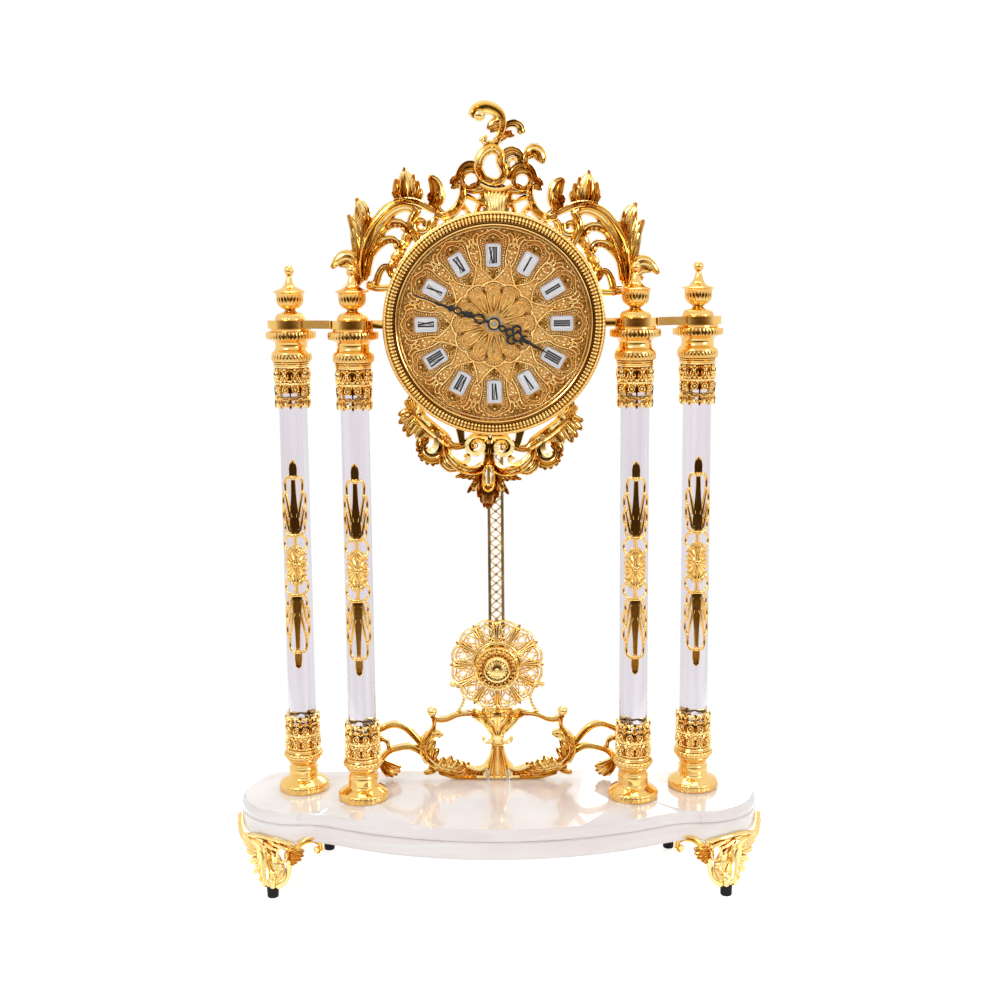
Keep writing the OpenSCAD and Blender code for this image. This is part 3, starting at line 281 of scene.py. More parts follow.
class Casting:
    """Relief in a flat drawing: u across, z up and d towards the viewer, all in mm."""

    def __init__(self, stout=1.0, leafy=1.0):
        self.verts = []
        self.faces = []
        self.stout = stout
        self.leafy = leafy
        self.strokes = 0
        self.copies = 0

    def stroke(self, points, width, relief, section=ROUND, base=0.0, steps=4, closed=False):
        """Sweep a section along a smooth curve, the width and the relief spread over its length."""
        path = curve(points, steps, closed)
        n = len(path)
        rings = []
        for i, p in enumerate(path):
            t = i / (n if closed else n - 1)
            before = path[i - 1] if closed or i else p
            after = path[(i + 1) % n] if closed or i < n - 1 else p
            tx, tz = after[0] - before[0], after[1] - before[1]
            length = math.hypot(tx, tz) or 1.0
            rings.append((p, tx / length, tz / length, spread(width, t) / 2 * self.stout, spread(relief, t)))
        if not closed:
            rings = [end_cap(rings[0], -1), *rings, end_cap(rings[-1], 1)]
        m = len(section)
        start = len(self.verts)
        self.strokes += 1
        back = base + BACK_STEP * (self.strokes % BACK_STEPS)
        for (u, z), tx, tz, half, high in rings:
            for s, h in section:
                reach = s * half
                self.verts.append((u + tz * reach, z - tx * reach, base + h * high if h else back))
        count = len(rings)
        for i in range(count if closed else count - 1):
            a = start + i * m
            b = start + ((i + 1) % count) * m
            for k in range(m):
                j = (k + 1) % m
                self.faces.append((a + k, a + j, b + j, b + k))
        if not closed:
            self.faces.append(tuple(start + k for k in reversed(range(m))))
            self.faces.append(tuple(start + (count - 1) * m + k for k in range(m)))

    def leaf(self, points, width, relief, base=0.0, section=LEAF):
        """Pointed leaf along a curve, widest half way up."""
        widths = [width * self.leafy / self.stout * k for k in LEAF_WIDTHS]
        self.stroke(points, widths, [relief * k for k in LEAF_RISES], section, base, steps=3)

    def frill(self, points, side, count, length, width, relief, lean=0.6):
        """Row of leaflets along one side of a curve."""
        path = curve(points, 6)
        for i in range(count):
            t = FRILL_START + (FRILL_END - FRILL_START) * i / (count - 1)
            k = min(int(t * (len(path) - 1)), len(path) - 2)
            p, q = path[k], path[k + 1]
            tx, tz = q[0] - p[0], q[1] - p[1]
            norm = math.hypot(tx, tz)
            tx, tz = tx / norm, tz / norm
            nx, nz = tz * side, -tx * side
            long = spread(length, t)
            tip = (p[0] + long * (nx + lean * tx), p[1] + long * (nz + lean * tz))
            mid = (
                p[0] + long * 0.5 * (nx * 1.15 + lean * 0.6 * tx),
                p[1] + long * 0.5 * (nz * 1.15 + lean * 0.6 * tz),
            )
            self.leaf([p, mid, tip], spread(width, t), relief)

    def ball(self, u, z, radius, d=0.0, squash=1.0, around=12, rows=6):
        """Round knob, its centre d in front of the plane."""
        start = len(self.verts)
        self.verts.append((u, z, d + radius * squash))
        for i in range(1, rows):
            polar = math.pi * i / rows
            for k in range(around):
                turn = 2 * math.pi * k / around
                self.verts.append((
                    u + radius * math.sin(polar) * math.cos(turn),
                    z + radius * math.sin(polar) * math.sin(turn),
                    d + radius * squash * math.cos(polar),
                ))
        end = len(self.verts)
        self.verts.append((u, z, d - radius * squash))
        for k in range(around):
            j = (k + 1) % around
            self.faces.append((start, start + 1 + k, start + 1 + j))
            for i in range(rows - 2):
                a = start + 1 + i * around
                self.faces.append((a + k, a + around + k, a + around + j, a + j))
            self.faces.append((end, end - around + j, end - around + k))

    def beads(self, points, radius, pitch, d=0.0):
        """Row of small knobs along a curve."""
        path = curve(points, 10)
        gone = 0.0
        for p, q in zip(path, path[1:]):
            gone += math.dist(p, q)
            if gone >= pitch:
                gone -= pitch
                self.ball(q[0], q[1], radius, d, 0.8, 6, 4)

    def ring(self, u, z, radius, width, relief, section=ROUND, tall=1.0):
        """Closed ring round a centre."""
        turns = [2 * math.pi * k / 8 for k in range(8)]
        points = [(u + radius * math.cos(a), z + radius * tall * math.sin(a)) for a in turns]
        self.stroke(points, width, relief, section, closed=True, steps=3)

    def arc(self, radius, start, end, width, relief, section=ROUND):
        """Arc about the drawing's origin, angles in degrees."""
        turns = [math.radians(start + (end - start) * k / 24) for k in range(25)]
        points = [(radius * math.cos(a), radius * math.sin(a)) for a in turns]
        self.stroke(points, width, relief, section, steps=2)

    def mark(self):
        """Remember how far the drawing has come."""
        return len(self.verts), len(self.faces)

    def again(self, mark, change):
        """Repeat what was drawn since a mark through a function of (u, z)."""
        v0, f0 = mark
        shift = len(self.verts) - v0
        self.copies += 1
        lift = COPY_STEP * (1 + self.copies % 2)
        fresh = [(*change(u, z), d + lift) for u, z, d in self.verts[v0:]]
        faces = [tuple(k + shift for k in face) for face in self.faces[f0:]]
        self.verts.extend(fresh)
        self.faces.extend(faces)

    def mirror(self, mark=(0, 0)):
        """Repeat the drawing since a mark on the other side."""
        self.again(mark, lambda u, z: (-u, z))

    def move(self, change, mark=(0, 0)):
        """Move what was drawn since a mark through a function of (u, z, d)."""
        start = mark[0]
        self.verts[start:] = [change(u, z, d) for u, z, d in self.verts[start:]]

    def turn(self, degrees, mark=(0, 0)):
        """Turn the drawing since a mark clockwise about the origin."""
        c, s = math.cos(math.radians(degrees)), math.sin(math.radians(degrees))
        self.move(lambda u, z, d: (u * c + z * s, z * c - u * s, d), mark)

    def make(self, name, place, angle=38):
        """Put the drawing in place and make it a piece."""
        data = bpy.data.meshes.new(name)
        data.from_pydata([Vector(place(u, z, d)) * MM for u, z, d in self.verts], [], self.faces)
        piece = bpy.data.objects.new(name, data)
        bpy.context.collection.objects.link(piece)
        smooth(piece, angle)
        return piece


def on_plane(y, x=0.0, z=0.0):
    """Place a flat drawing on an upright plane."""
    return lambda u, v, d: (x + u, y - d, z + v)


def on_drum(radius, cx, cy, z=0.0):
    """Wrap a drawing round the front of an upright cylinder."""
    def place(u, v, d):
        turn = math.radians(270) + u / radius
        return cx + (radius + d) * math.cos(turn), cy + (radius + d) * math.sin(turn), z + v
    return place


# Materials


BLACK = (0, 0, 0)
WHITE = (1, 1, 1)


def scaled(colour, share):
    """A darker or lighter tone of a colour."""
    return tuple(c * share for c in colour)


class Nodes:
    """Node tree that is wired as its nodes are added."""

    def __init__(self, tree):
        self.tree = tree

    def feed(self, node, *ordered, **named):
        """Give inputs, in order or by name, a value or another node's output; small names are settings."""
        for key, value in (*enumerate(ordered), *named.items()):
            if isinstance(key, str) and hasattr(node, key):
                setattr(node, key, value)
                continue
            taken = node.inputs[key.replace("_", " ") if isinstance(key, str) else key]
            if isinstance(value, bpy.types.Node):
                value = value.outputs[0]
            if isinstance(value, bpy.types.NodeSocket):
                self.tree.links.new(value, taken)
            else:
                taken.default_value = value

    def add(self, kind, *ordered, **named):
        """Add a node and feed it."""
        node = self.tree.nodes.new("ShaderNode" + kind)
        self.feed(node, *ordered, **named)
        return node

    def ramp(self, source, *stops):
        """Add a colour ramp through stops of (place, colour)."""
        node = self.add("ValToRGB", source)
        elements = node.color_ramp.elements
        elements[0].position, elements[1].position = stops[0][0], stops[-1][0]
        for place, _ in stops[1:-1]:
            elements.new(place)
        for element, (_, colour) in zip(elements, stops):
            element.color = (*colour, 1)
        return node

    def shown(self, path):
        """1 for the rays that show the stage itself: from the camera, off a mirror or through glass."""
        sees = self.add("Math", path.outputs["Is Camera Ray"], path.outputs["Is Glossy Ray"],
                        operation="ADD", use_clamp=True)
        return self.add("Math", sees, path.outputs["Is Transmission Ray"], operation="ADD", use_clamp=True)


def shader(name):
    """Start a material; return it with its nodes, its shader and the place on the object."""
    material = bpy.data.materials.new(name)
    material.use_nodes = True
    nodes = Nodes(material.node_tree)
    return material, nodes, nodes.tree.nodes["Principled BSDF"], nodes.add("TexCoord").outputs["Object"]


def gilding(name, colour, shade, roughness, grain, depth, mottling=0.35, crevice_shade=0.32):
    """Bright gilding: tone that wanders a little, brown painted shade in the crevices that the piece's own
    shape shades, and a cast skin.
    """
    material, nodes, surface, place = shader(name)
    wander = nodes.add("TexNoise", Vector=place, Scale=60.0, Detail=4.0, Roughness=0.6)
    tone = nodes.ramp(wander, (0.35, shade), (0.35 + mottling, colour))
    # Painted shade: where the piece's own shape hides a point from its surroundings, the colour goes over to
    # a brown.
    hollow = nodes.add("AmbientOcclusion", samples=6, only_local=True, Distance=0.0025)
    occlusion_shade = nodes.ramp(hollow.outputs["AO"], (0.25, BLACK), (0.75, WHITE))
    crevice_shaded = nodes.add("MixRGB", occlusion_shade, (crevice_shade, crevice_shade * 0.5, crevice_shade * 0.09, 1), tone)
    wear = nodes.add("MapRange", wander, 0.3, 0.7, roughness * 0.75, roughness * 1.4)
    skin = nodes.add("TexNoise", Vector=place, Scale=grain, Detail=3.0, Roughness=0.55)
    bump = nodes.add("Bump", Strength=depth, Distance=0.0004, Height=skin)
    nodes.feed(surface, Base_Color=crevice_shaded, Metallic=1.0, Roughness=wear, Normal=bump)
    return material


def stippled_dial(colour, shade):
    """Dial ground: fine raised dots with painted shade between them, painted shade in the hollows by the
    relief and painted shade of the bezel towards the upper rim.
    """
    material, nodes, surface, place = shader("gilt_dial")
    centre = nodes.add("Mapping", Vector=place, Location=(0, 0, -AXIS_Z * MM))
    reach = nodes.add("VectorMath", centre, operation="LENGTH").outputs["Value"]
    way = nodes.add("SeparateXYZ", centre)
    # Painted shade of the bezel: the ground darkens towards the rim, the more so towards the top.
    rim = nodes.add("MapRange", reach, 0.03, 0.064)
    upper = nodes.add("MapRange", way.outputs["Z"], -0.06, 0.06)
    brown = nodes.add("Math", rim, upper, operation="MULTIPLY")
    # A wedge of brown between each two plates, near the rim
    angle = nodes.add("Math", way.outputs["X"], way.outputs["Z"], operation="ARCTAN2")
    dozen = nodes.add("Math", angle, 12, operation="MULTIPLY")
    between = nodes.add("MapRange", nodes.add("Math", dozen, operation="COSINE"), 0.1, -0.7, 0.0, 0.9)
    outer = nodes.add("MapRange", reach, 0.05, 0.06)
    wedge = nodes.add("Math", between, outer, operation="MULTIPLY")
    rim_shade_or_wedge = nodes.add("Math", brown, wedge, operation="MAXIMUM")
    # Painted shade between the dots: the ground goes to the deeper tone away from each dot's middle.
    dots = nodes.add("TexVoronoi", Vector=place, Scale=820.0)
    ground = nodes.ramp(dots, (0.25, colour), (0.6, shade))
    tone = nodes.add("MixRGB", rim_shade_or_wedge, ground, (shade[0] * 0.7, shade[1] * 0.5, shade[2] * 0.35, 1))
    # Painted shade where the relief, the plates and the hands stand close over the ground.
    hollow = nodes.add("AmbientOcclusion", samples=6, Distance=0.0022)
    occlusion_shade = nodes.add("MapRange", hollow.outputs["AO"], 0.2, 0.72)
    foot = nodes.add("MixRGB", occlusion_shade, (0.32, 0.12, 0.018, 1), tone)
    bump = nodes.add("Bump", invert=True, Strength=1.0, Distance=0.0003, Height=dots)
    nodes.feed(surface, Base_Color=foot, Metallic=0.85, Roughness=0.3, Normal=bump)
    return material


def plain(name, colour, roughness, metallic=0.0, grain=900.0, depth=0.15):
    """Even finish with a fine grain."""
    material, nodes, surface, place = shader(name)
    noise = nodes.add("TexNoise", Vector=place, Scale=grain, Detail=2.0)
    tone = nodes.ramp(noise, (0, scaled(colour, 0.85)), (1, [min(c * 1.1, 1) for c in colour]))
    bump = nodes.add("Bump", Strength=depth, Distance=0.0002, Height=noise)
    nodes.feed(surface, Base_Color=tone, Metallic=metallic, Roughness=roughness, Normal=bump)
    return material


def polished_onyx(milk, cloud):
    """Milky onyx with pink clouds, a few thin veins and a polish."""
    material, nodes, surface, place = shader("onyx")
    stretch = nodes.add("Mapping", Vector=place, Scale=(0.55, 1.0, 2.2), Rotation=(0.1, 0.25, 0.15))
    clouds = nodes.add("TexNoise", Vector=stretch, Scale=14.0, Detail=5.0, Roughness=0.55, Distortion=0.7)
    tone = nodes.ramp(clouds, (0.36, cloud), (0.58, milk))
    vein = nodes.add("TexWave", bands_direction="Z", Vector=stretch, Scale=9.0, Distortion=7.0, Detail=3.0,
                     Detail_Scale=1.6)
    thin = nodes.ramp(vein.outputs["Fac"], (0, WHITE), (0.09, BLACK))
    faint = nodes.add("Math", thin, 0.35, operation="MULTIPLY")
    veined = nodes.add("MixRGB", faint, tone, (0.95, 0.92, 0.9, 1))
    nodes.feed(surface, Base_Color=veined, Roughness=0.22, Coat_Weight=1.0, Coat_Roughness=0.04,
               Subsurface_Weight=0.35, Subsurface_Scale=0.008, Subsurface_Radius=(1.0, 0.8, 0.7))
    return material


def crystal_glass(name, tint, body=1.0, edge_shade=0.97):
    """Clear glass with faint streaks along it and a painted darker edge where it is seen at a slant."""
    material, nodes, surface, place = shader(name)
    stretch = nodes.add("Mapping", Vector=place, Scale=(1.0, 1.0, 0.02))
    streaks = nodes.add("TexNoise", Vector=stretch, Scale=260.0, Detail=1.0)
    tone = nodes.ramp(streaks, (0.3, scaled(tint, edge_shade)), (0.7, tint))
    # Painted shade: the colour deepens where the glass is seen at a slant, standing in for what the rod's
    # curved edges show.
    facing = nodes.add("LayerWeight", Blend=0.25).outputs["Facing"]
    deeper = nodes.add("MixRGB", facing, tone, (*[c * edge_shade * edge_shade for c in tint], 1))
    nodes.feed(surface, Base_Color=deeper, Transmission_Weight=1.0, Roughness=0.02, IOR=1.45, Alpha=body)
    return material


def fired_enamel(colour):
    """White enamel with a soft gloss."""
    material, nodes, surface, place = shader("enamel")
    noise = nodes.add("TexNoise", Vector=place, Scale=250.0, Detail=2.0)
    tone = nodes.ramp(noise, (0, scaled(colour, 0.93)), (1, colour))
    nodes.feed(surface, Base_Color=tone, Roughness=0.25, Coat_Weight=0.6, Coat_Roughness=0.08)
    return material


MATERIALS = {}


def finishes():
    """The clock's materials, made once."""
    if MATERIALS:
        return MATERIALS
    chosen = bpy.context.scene.clock_finishes
    gold, amber, crystal = tuple(chosen.gold), tuple(chosen.amber), tuple(chosen.crystal)
    pale = (gold[0], gold[1] * 1.13, gold[2] * 1.3)
    # The dial's relief is a paler gold than its ground: a painted highlight that sets the relief off from the
    # ground.
    pressed, pressed_shade = (1.0, 0.77, 0.38), (1.0, 0.66, 0.24)
    MATERIALS.update({
        # Each gilding's crevice value sets the brightness of the painted shade in its crevices.
        "cast": gilding("gilt_casting", pale, gold, 0.1, 500.0, 0.12, mottling=0.2, crevice_shade=0.6),
        "bright": gilding("gilt_turning", gold, amber, 0.08, 300.0, 0.06, crevice_shade=0.18),
        "dial": stippled_dial(tuple(chosen.dial_gold), tuple(chosen.dial_shade)),
        "embossed": gilding("gilt_embossed", pressed, pressed_shade, 0.17, 600.0, 0.2, crevice_shade=0.22),
        "rod": gilding("gilt_rod", scaled(gold, 0.55), scaled(gold, 0.4), 0.3, 700.0, 0.3),
        "onyx": polished_onyx(tuple(chosen.onyx_milk), tuple(chosen.onyx_cloud)),
        "crystal": crystal_glass("crystal", crystal, edge_shade=0.8),
        "lens": crystal_glass("dial_glass", (0.99, 0.99, 0.99), body=0.25),
        "enamel": fired_enamel(tuple(chosen.enamel)),
        "black": plain("black_paint", (0.005, 0.005, 0.006), 0.5, 0.0, 700.0, 0.05),
        "plastic": plain("black_plastic", (0.018, 0.018, 0.02), 0.55, 0.0, 1500.0, 0.3),
        "steel": plain("steel", (0.55, 0.56, 0.57), 0.28, 1.0, 500.0, 0.1),
        "board": plain("circuit_board", (0.03, 0.12, 0.05), 0.5),
        "cell": plain("cell_wrap", (0.08, 0.12, 0.18), 0.25),
        "rubber": plain("pad_rubber", (0.004, 0.003, 0.004), 0.9, 0.0, 1100.0, 0.4),
    })
    return MATERIALS


# What a user would change


def tint(name, description, default):
    """Property that holds a colour."""
    return bpy.props.FloatVectorProperty(
        name=name, description=description, subtype="COLOR", size=3, min=0, max=1, default=default,
    )


def small_turn(name, description, degrees):
    """Property that holds a small clockwise turn."""
    return bpy.props.FloatProperty(
        name=name, description=description, default=math.radians(degrees), subtype="ANGLE", unit="ROTATION",
    )


class ClockFinishes(bpy.types.PropertyGroup):
    gold: tint("Gold", "Colour of the gilding", (0.96, 0.66, 0.25))
    amber: tint("Amber", "Deeper tone of the gilding", (0.9, 0.54, 0.15))
    dial_gold: tint("Dial gold", "Colour of the dial", (1.0, 0.67, 0.23))
    dial_shade: tint("Dial shade", "Deeper tone of the dial", (0.76, 0.38, 0.1))
    onyx_milk: tint("Onyx milk", "Pale tone of the onyx", (0.94, 0.885, 0.87))
    onyx_cloud: tint("Onyx cloud", "Pink tone of the onyx", (0.86, 0.76, 0.725))
    crystal: tint("Crystal", "Tint of the crystal rods", (0.875, 0.82, 0.88))
    enamel: tint("Enamel", "Colour of the numeral plates", (0.84, 0.82, 0.84))


class ClockSizes(bpy.types.PropertyGroup):
    bezel_ribs: bpy.props.IntProperty(
        name="Bezel ribs", description="Number of ribs round the bezel", default=184, min=60, max=300,
    )
    bezel_beads: bpy.props.IntProperty(
        name="Bezel beads", description="Number of beads round the bezel's rim", default=184, min=60, max=400,
    )
    crest_relief: bpy.props.FloatProperty(
        name="Crest relief", description="Height of the crest's relief", default=CREST_RELIEF, min=0.002,
        max=0.008, unit="LENGTH",
    )
    crest_turn: small_turn("Crest turn", "Clockwise turn of the crest on the drum", 1.6)
    drop_turn: small_turn("Drop turn", "Clockwise turn of the drop ornament on the drum", 2.5)
    lens: bpy.props.FloatProperty(
        name="Camera lens", description="Focal length of the camera in mm", default=48.7137, min=20, max=120,
    )


# Pieces


class CLOCK_OT_slab(bpy.types.Operator):
    """Polished onyx slab with its stepped edge"""

    bl_idname = "clock.slab"
    bl_label = "Onyx slab"

    def execute(self, context):
        made = finishes()
        slab = own_copy("onyx_base", "slab")
        smooth(slab, 24)
        finish(slab, "clock", made["onyx"], "onyx", "onyx_base")
        return {"FINISHED"}


class CLOCK_OT_plain_parts(bpy.types.Operator):
    """Finishes of the parts whose solids are already right"""

    bl_idname = "clock.plain_parts"
    bl_label = "Plain parts"

    def execute(self, context):
        made = finishes()
        dress(made["rubber"], "foot_pads")
        dress(made["steel"], "foot_screws", "base_screws", "case_screws", "bush_nut", "battery_contacts",
              "cannon_pinion", "hanger_pin")
        dress(made["bright"], "foot_rear_left", "foot_rear_right", "drum_case", "back_cover", "hand_nut")
        dress(made["plastic"], "movement_case", "movement_cover", "minute_wheel", "hour_wheel", "set_knob",
              "pendulum_hanger")
        dress(made["board"], "drive_circuit")
        dress(made["cell"], "battery")
        return {"FINISHED"}


class CLOCK_OT_bars(bpy.types.Operator):
    """Top bars with softened edges"""

    bl_idname = "clock.bars"
    bl_label = "Top bars"

    def execute(self, context):
        made = finishes()
        for side in ("left", "right"):
            bar = own_copy("top_bar_" + side, "bar_" + side)
            smooth(bar, 40)
            edge = bar.modifiers.new("edge", "BEVEL")
            edge.width = 1.2 * MM
            edge.segments = 4
            edge.limit_method = "ANGLE"
            edge.angle_limit = math.radians(50)
            bpy.ops.object.modifier_apply(modifier="edge")
            smooth(bar, 40)
            finish(bar, "clock", made["bright"], "gilt_brass", "top_bar_" + side)
        return {"FINISHED"}


class CLOCK_OT_rods(bpy.types.Operator):
    """Crystal rods with polished ends"""

    bl_idname = "clock.rods"
    bl_label = "Crystal rods"

    def execute(self, context):
        made = finishes()
        first = turned("crystal_" + COLUMN_NAMES[0], [
            (0, 95), (9.9, 95), (10.5, 95.6), (10.5, 392.4), (9.9, 393), (0, 393),
        ], (*COLUMNS[0], 0), steps=72)
        for rod, name in at_columns(first, "crystal_"):
            finish(rod, "clock", made["crystal"], "crystal", "rod_" + name)
        return {"FINISHED"}


class CLOCK_OT_bases(bpy.types.Operator):
    """Turned column bases with a ribbed torus"""

    bl_idname = "clock.bases"
    bl_label = "Column bases"

    def execute(self, context):
        made = finishes()
        at = (*COLUMNS[0], 0)
        first = turned("base_" + COLUMN_NAMES[0], [
            (0, 63), (17.8, 63), (18.6, 63.3), (19.0, 64.0), (19.1, 65.2), (19.1, 66.6), (19.0, 67.8),
            (18.5, 68.6), (17.4, 69.4), (15.6, 70.6), (13.8, 71.8), (12.4, 72.6), (11.6, 73.4), (11.4, 74.2),
            (11.4, 75.4), (11.4, 78.0), (11.4, 80.4), (11.2, 81.2), (10.7, 82.0), (10.6, 83.0), (11.0, 84.4),
            (12.0, 86.0), (12.9, 87.2), (13.2, 88.0), (13.0, 88.5), (13.6, 88.8), (14.7, 89.6), (15.1, 90.6),
            (15.1, 91.6), (14.7, 92.6), (13.9, 93.3), (13.4, 93.5), (13.9, 93.8), (14.2, 94.3), (13.9, 94.8),
            (13.2, 95), (0, 95),
        ], at, steps=144)
        flute(first, at, 63.6, 68.2, 36, 0.6)
        flute(first, at, 88.7, 93.2, 24, 0.9)
        for base, name in at_columns(first, "base_"):
            finish(base, "clock", made["bright"], "gilt_brass", "column_base_" + name)
        return {"FINISHED"}


class CLOCK_OT_capitals(bpy.types.Operator):
    """Turned capitals with ribbed rings and a coin-edged disc"""

    bl_idname = "clock.capitals"
    bl_label = "Capitals"

    def execute(self, context):
        made = finishes()
        at = (*COLUMNS[0], 0)
        first = turned("capital_" + COLUMN_NAMES[0], [
            (0, 393), (13.0, 393), (13.8, 393.2), (14.1, 393.8), (13.8, 394.3), (13.2, 394.6), (13.8, 394.9),
            (14.1, 395.4), (13.8, 395.9), (13.4, 396.2), (14.6, 396.6), (15.1, 397.4), (15.1, 400.6),
            (14.8, 401.4), (14.9, 402.2), (14.3, 403.4), (13.2, 404.4), (12.4, 405.4), (12.0, 406.6),
            (11.8, 408.0), (11.9, 409.4), (12.4, 410.6), (13.6, 411.6), (15.4, 412.4), (17.2, 412.9),
            (18.3, 413.4), (18.6, 414.2), (18.6, 417.6), (18.3, 418.4), (17.4, 418.8), (15.2, 419.0),
            (14.8, 421), (0, 421),
        ], at, steps=192)
        flute(first, at, 396.5, 401.2, 32, 0.9)
        flute(first, at, 413.6, 418.2, 44, 0.8)
        for capital, name in at_columns(first, "capital_piece_"):
            finish(capital, "clock", made["bright"], "gilt_brass", "capital_" + name)
        return {"FINISHED"}


class CLOCK_OT_finials(bpy.types.Operator):
    """Urn finials: beaded foot, fluted cup, lid and ball"""

    bl_idname = "clock.finials"
    bl_label = "Finials"

    def execute(self, context):
        made = finishes()
        at = (*COLUMNS[0], 0)
        first = turned("finial_" + COLUMN_NAMES[0], [
            (0, 427), (11.4, 427), (11.6, 427.6), (11.4, 428.3), (11.0, 429.2), (10.2, 430.6), (8.8, 431.8),
            (6.8, 432.6), (4.8, 433.2), (3.9, 433.9), (4.1, 434.5), (5.4, 435.2), (7.4, 436.4), (9.0, 438.2),
            (9.8, 440.2), (10.0, 442.4), (10.0, 445.2), (10.4, 446.4), (11.2, 447.0), (12.2, 447.3),
            (12.5, 447.8), (12.0, 448.3), (9.8, 449.2), (7.4, 450.2), (5.4, 451.4), (4.2, 452.8),
            (3.4, 454.4), (2.8, 456.2), (2.3, 458.0), (2.0, 459.4), (2.1, 460.0), (2.7, 460.6),
            (3.3, 461.5), (3.7, 462.6), (3.75, 463.4), (3.6, 464.4), (3.1, 465.6), (2.3, 466.5),
            (1.2, 467.0), (0, 467.1),
        ], at, steps=144)
        flute(first, at, 438.6, 446.0, 22, 1.2)
        flute(first, at, 427.9, 431.4, 36, 0.5)
        for finial, name in at_columns(first, "finial_piece_"):
            finish(finial, "clock", made["bright"], "gilt_brass", "finial_" + name)
        return {"FINISHED"}


class CLOCK_OT_bezel(bpy.types.Operator):
    """Stepped bezel: smooth inner ring, ribbed ring and beaded rim"""

    bl_idname = "clock.bezel"
    bl_label = "Bezel"

    def execute(self, context):
        made = finishes()
        sizes = context.scene.clock_sizes
        at = (0, 0, AXIS_Z)
        f = FACE_Y
        inner = turned("bezel_inner", [
            (69.4, f + 2.5), (69.4, f + 1.7), (69.6, f + 1.2), (70.1, f + 0.9), (70.6, f + 1.2),
            (70.8, f + 1.9), (71.0, f + 1.2), (71.4, f + 0.6), (71.8, f + 0.6), (72.1, f + 1.2),
            (72.2, f + 2.4), (69.4, f + 2.5),
        ], at, False, 240)
        ribs = turned("bezel_ribs", [
            (71.8, f + 2.8), (71.9, f + 1.6), (72.2, f + 0.8), (72.8, f + 0.2), (73.8, f), (75.2, f),
            (76.2, f + 0.3), (76.8, f + 1.0), (77.0, f + 1.8), (77.0, f + 3.2), (71.8, f + 3.2),
        ], at, False, sizes.bezel_ribs * 10)
        flute(ribs, at, 71.9, 76.9, sizes.bezel_ribs, 1.7, False, along=True, full=0.8)
        rim = turned("bezel_rim", [
            (76.6, f + 3.6), (76.8, f + 2.4), (77.2, f + 1.6), (77.8, f + 1.2), (78.5, f + 1.4),
            (79.1, f + 2.1), (79.4, f + 3.0), (79.5, f + 4.0), (76.6, f + 4.0),
        ], at, False, sizes.bezel_beads * 6)
        flute(rim, at, 76.9, 79.4, sizes.bezel_beads, 0.8, False, along=True)
        skirt = turned("bezel_skirt", [
            (74.2, f + 2.5), (78.9, f + 2.9), (79.6, f + 3.2), (79.8, f + 4.0), (79.8, f + 7.8),
            (79.4, f + 8.4), (78.8, f + 8.5), (74.2, f + 8.5), (74.2, f + 2.5),
        ], at, False, 240)
        bezel = join("bezel_ring", [inner, ribs, rim, skirt])
        finish(bezel, "clock", made["bright"], "gilt_brass", "bezel")
        dress(made["lens"], "dial_lens")
        return {"FINISHED"}


def frame_half(drawing):
    """Right half of the ornament round one numeral plate; z is the radius."""
    drawing.stroke([(0, 31), (3, 33.4), (6.6, 37), (8.8, 40.6), (8.8, 46), (9.8, 52), (11.4, 58), (10.6, 62),
                    (7, 63.6), (3.6, 65.6), (0, 67)], 1.5, 1.3)
    drawing.beads([(0.9, 33), (4.6, 36.4), (7, 39.6), (7.2, 46), (8, 52), (9.2, 58), (7.6, 61.4)],
                  0.75, 1.6, 0.4)
    drawing.beads([(0.9, 36), (4, 38.6), (5.8, 40.6)], 0.8, 1.7, 0.4)
    drawing.beads([(6.1, 43), (6.3, 50), (7.4, 57.4), (5.4, 59.4), (1, 59.6)], 0.6, 1.7, 0.3)
    drawing.stroke([(0, 63.8), (3, 62.6), (5.2, 60.4), (7.2, 60.2), (7.6, 61.8), (6, 62.4)],
                   1.2, 1.3, steps=3)
    drawing.stroke([(0.6, 38), (2.8, 39.6), (5, 39.4), (4.8, 37.6), (3.2, 37.4)], 1.2, 1.2, steps=3)
    drawing.leaf([(0, 32), (1.6, 35), (1.4, 38.6)], 2.4, 1.3)
    drawing.leaf([(0, 58.6), (2.8, 60.4), (4.4, 58.4)], 2.2, 1.3)
    drawing.stroke([(11.8, 55), (14, 58), (14.2, 61.4), (12, 64), (10.2, 63), (11, 61.4)], 1.4, 1.2, steps=3)
    drawing.leaf([(12, 64), (9, 66.6), (5, 68)], 2.2, 1.1)
    drawing.leaf([(15.4, 60), (15.6, 63.4), (13.4, 66)], 2.2, 1.1)
    drawing.ball(14.6, 56.4, 0.8, 0.3, 0.8, 6, 3)
    drawing.stroke([(10, 46), (11, 43), (9.2, 41)], 1.2, 1.0, steps=3)


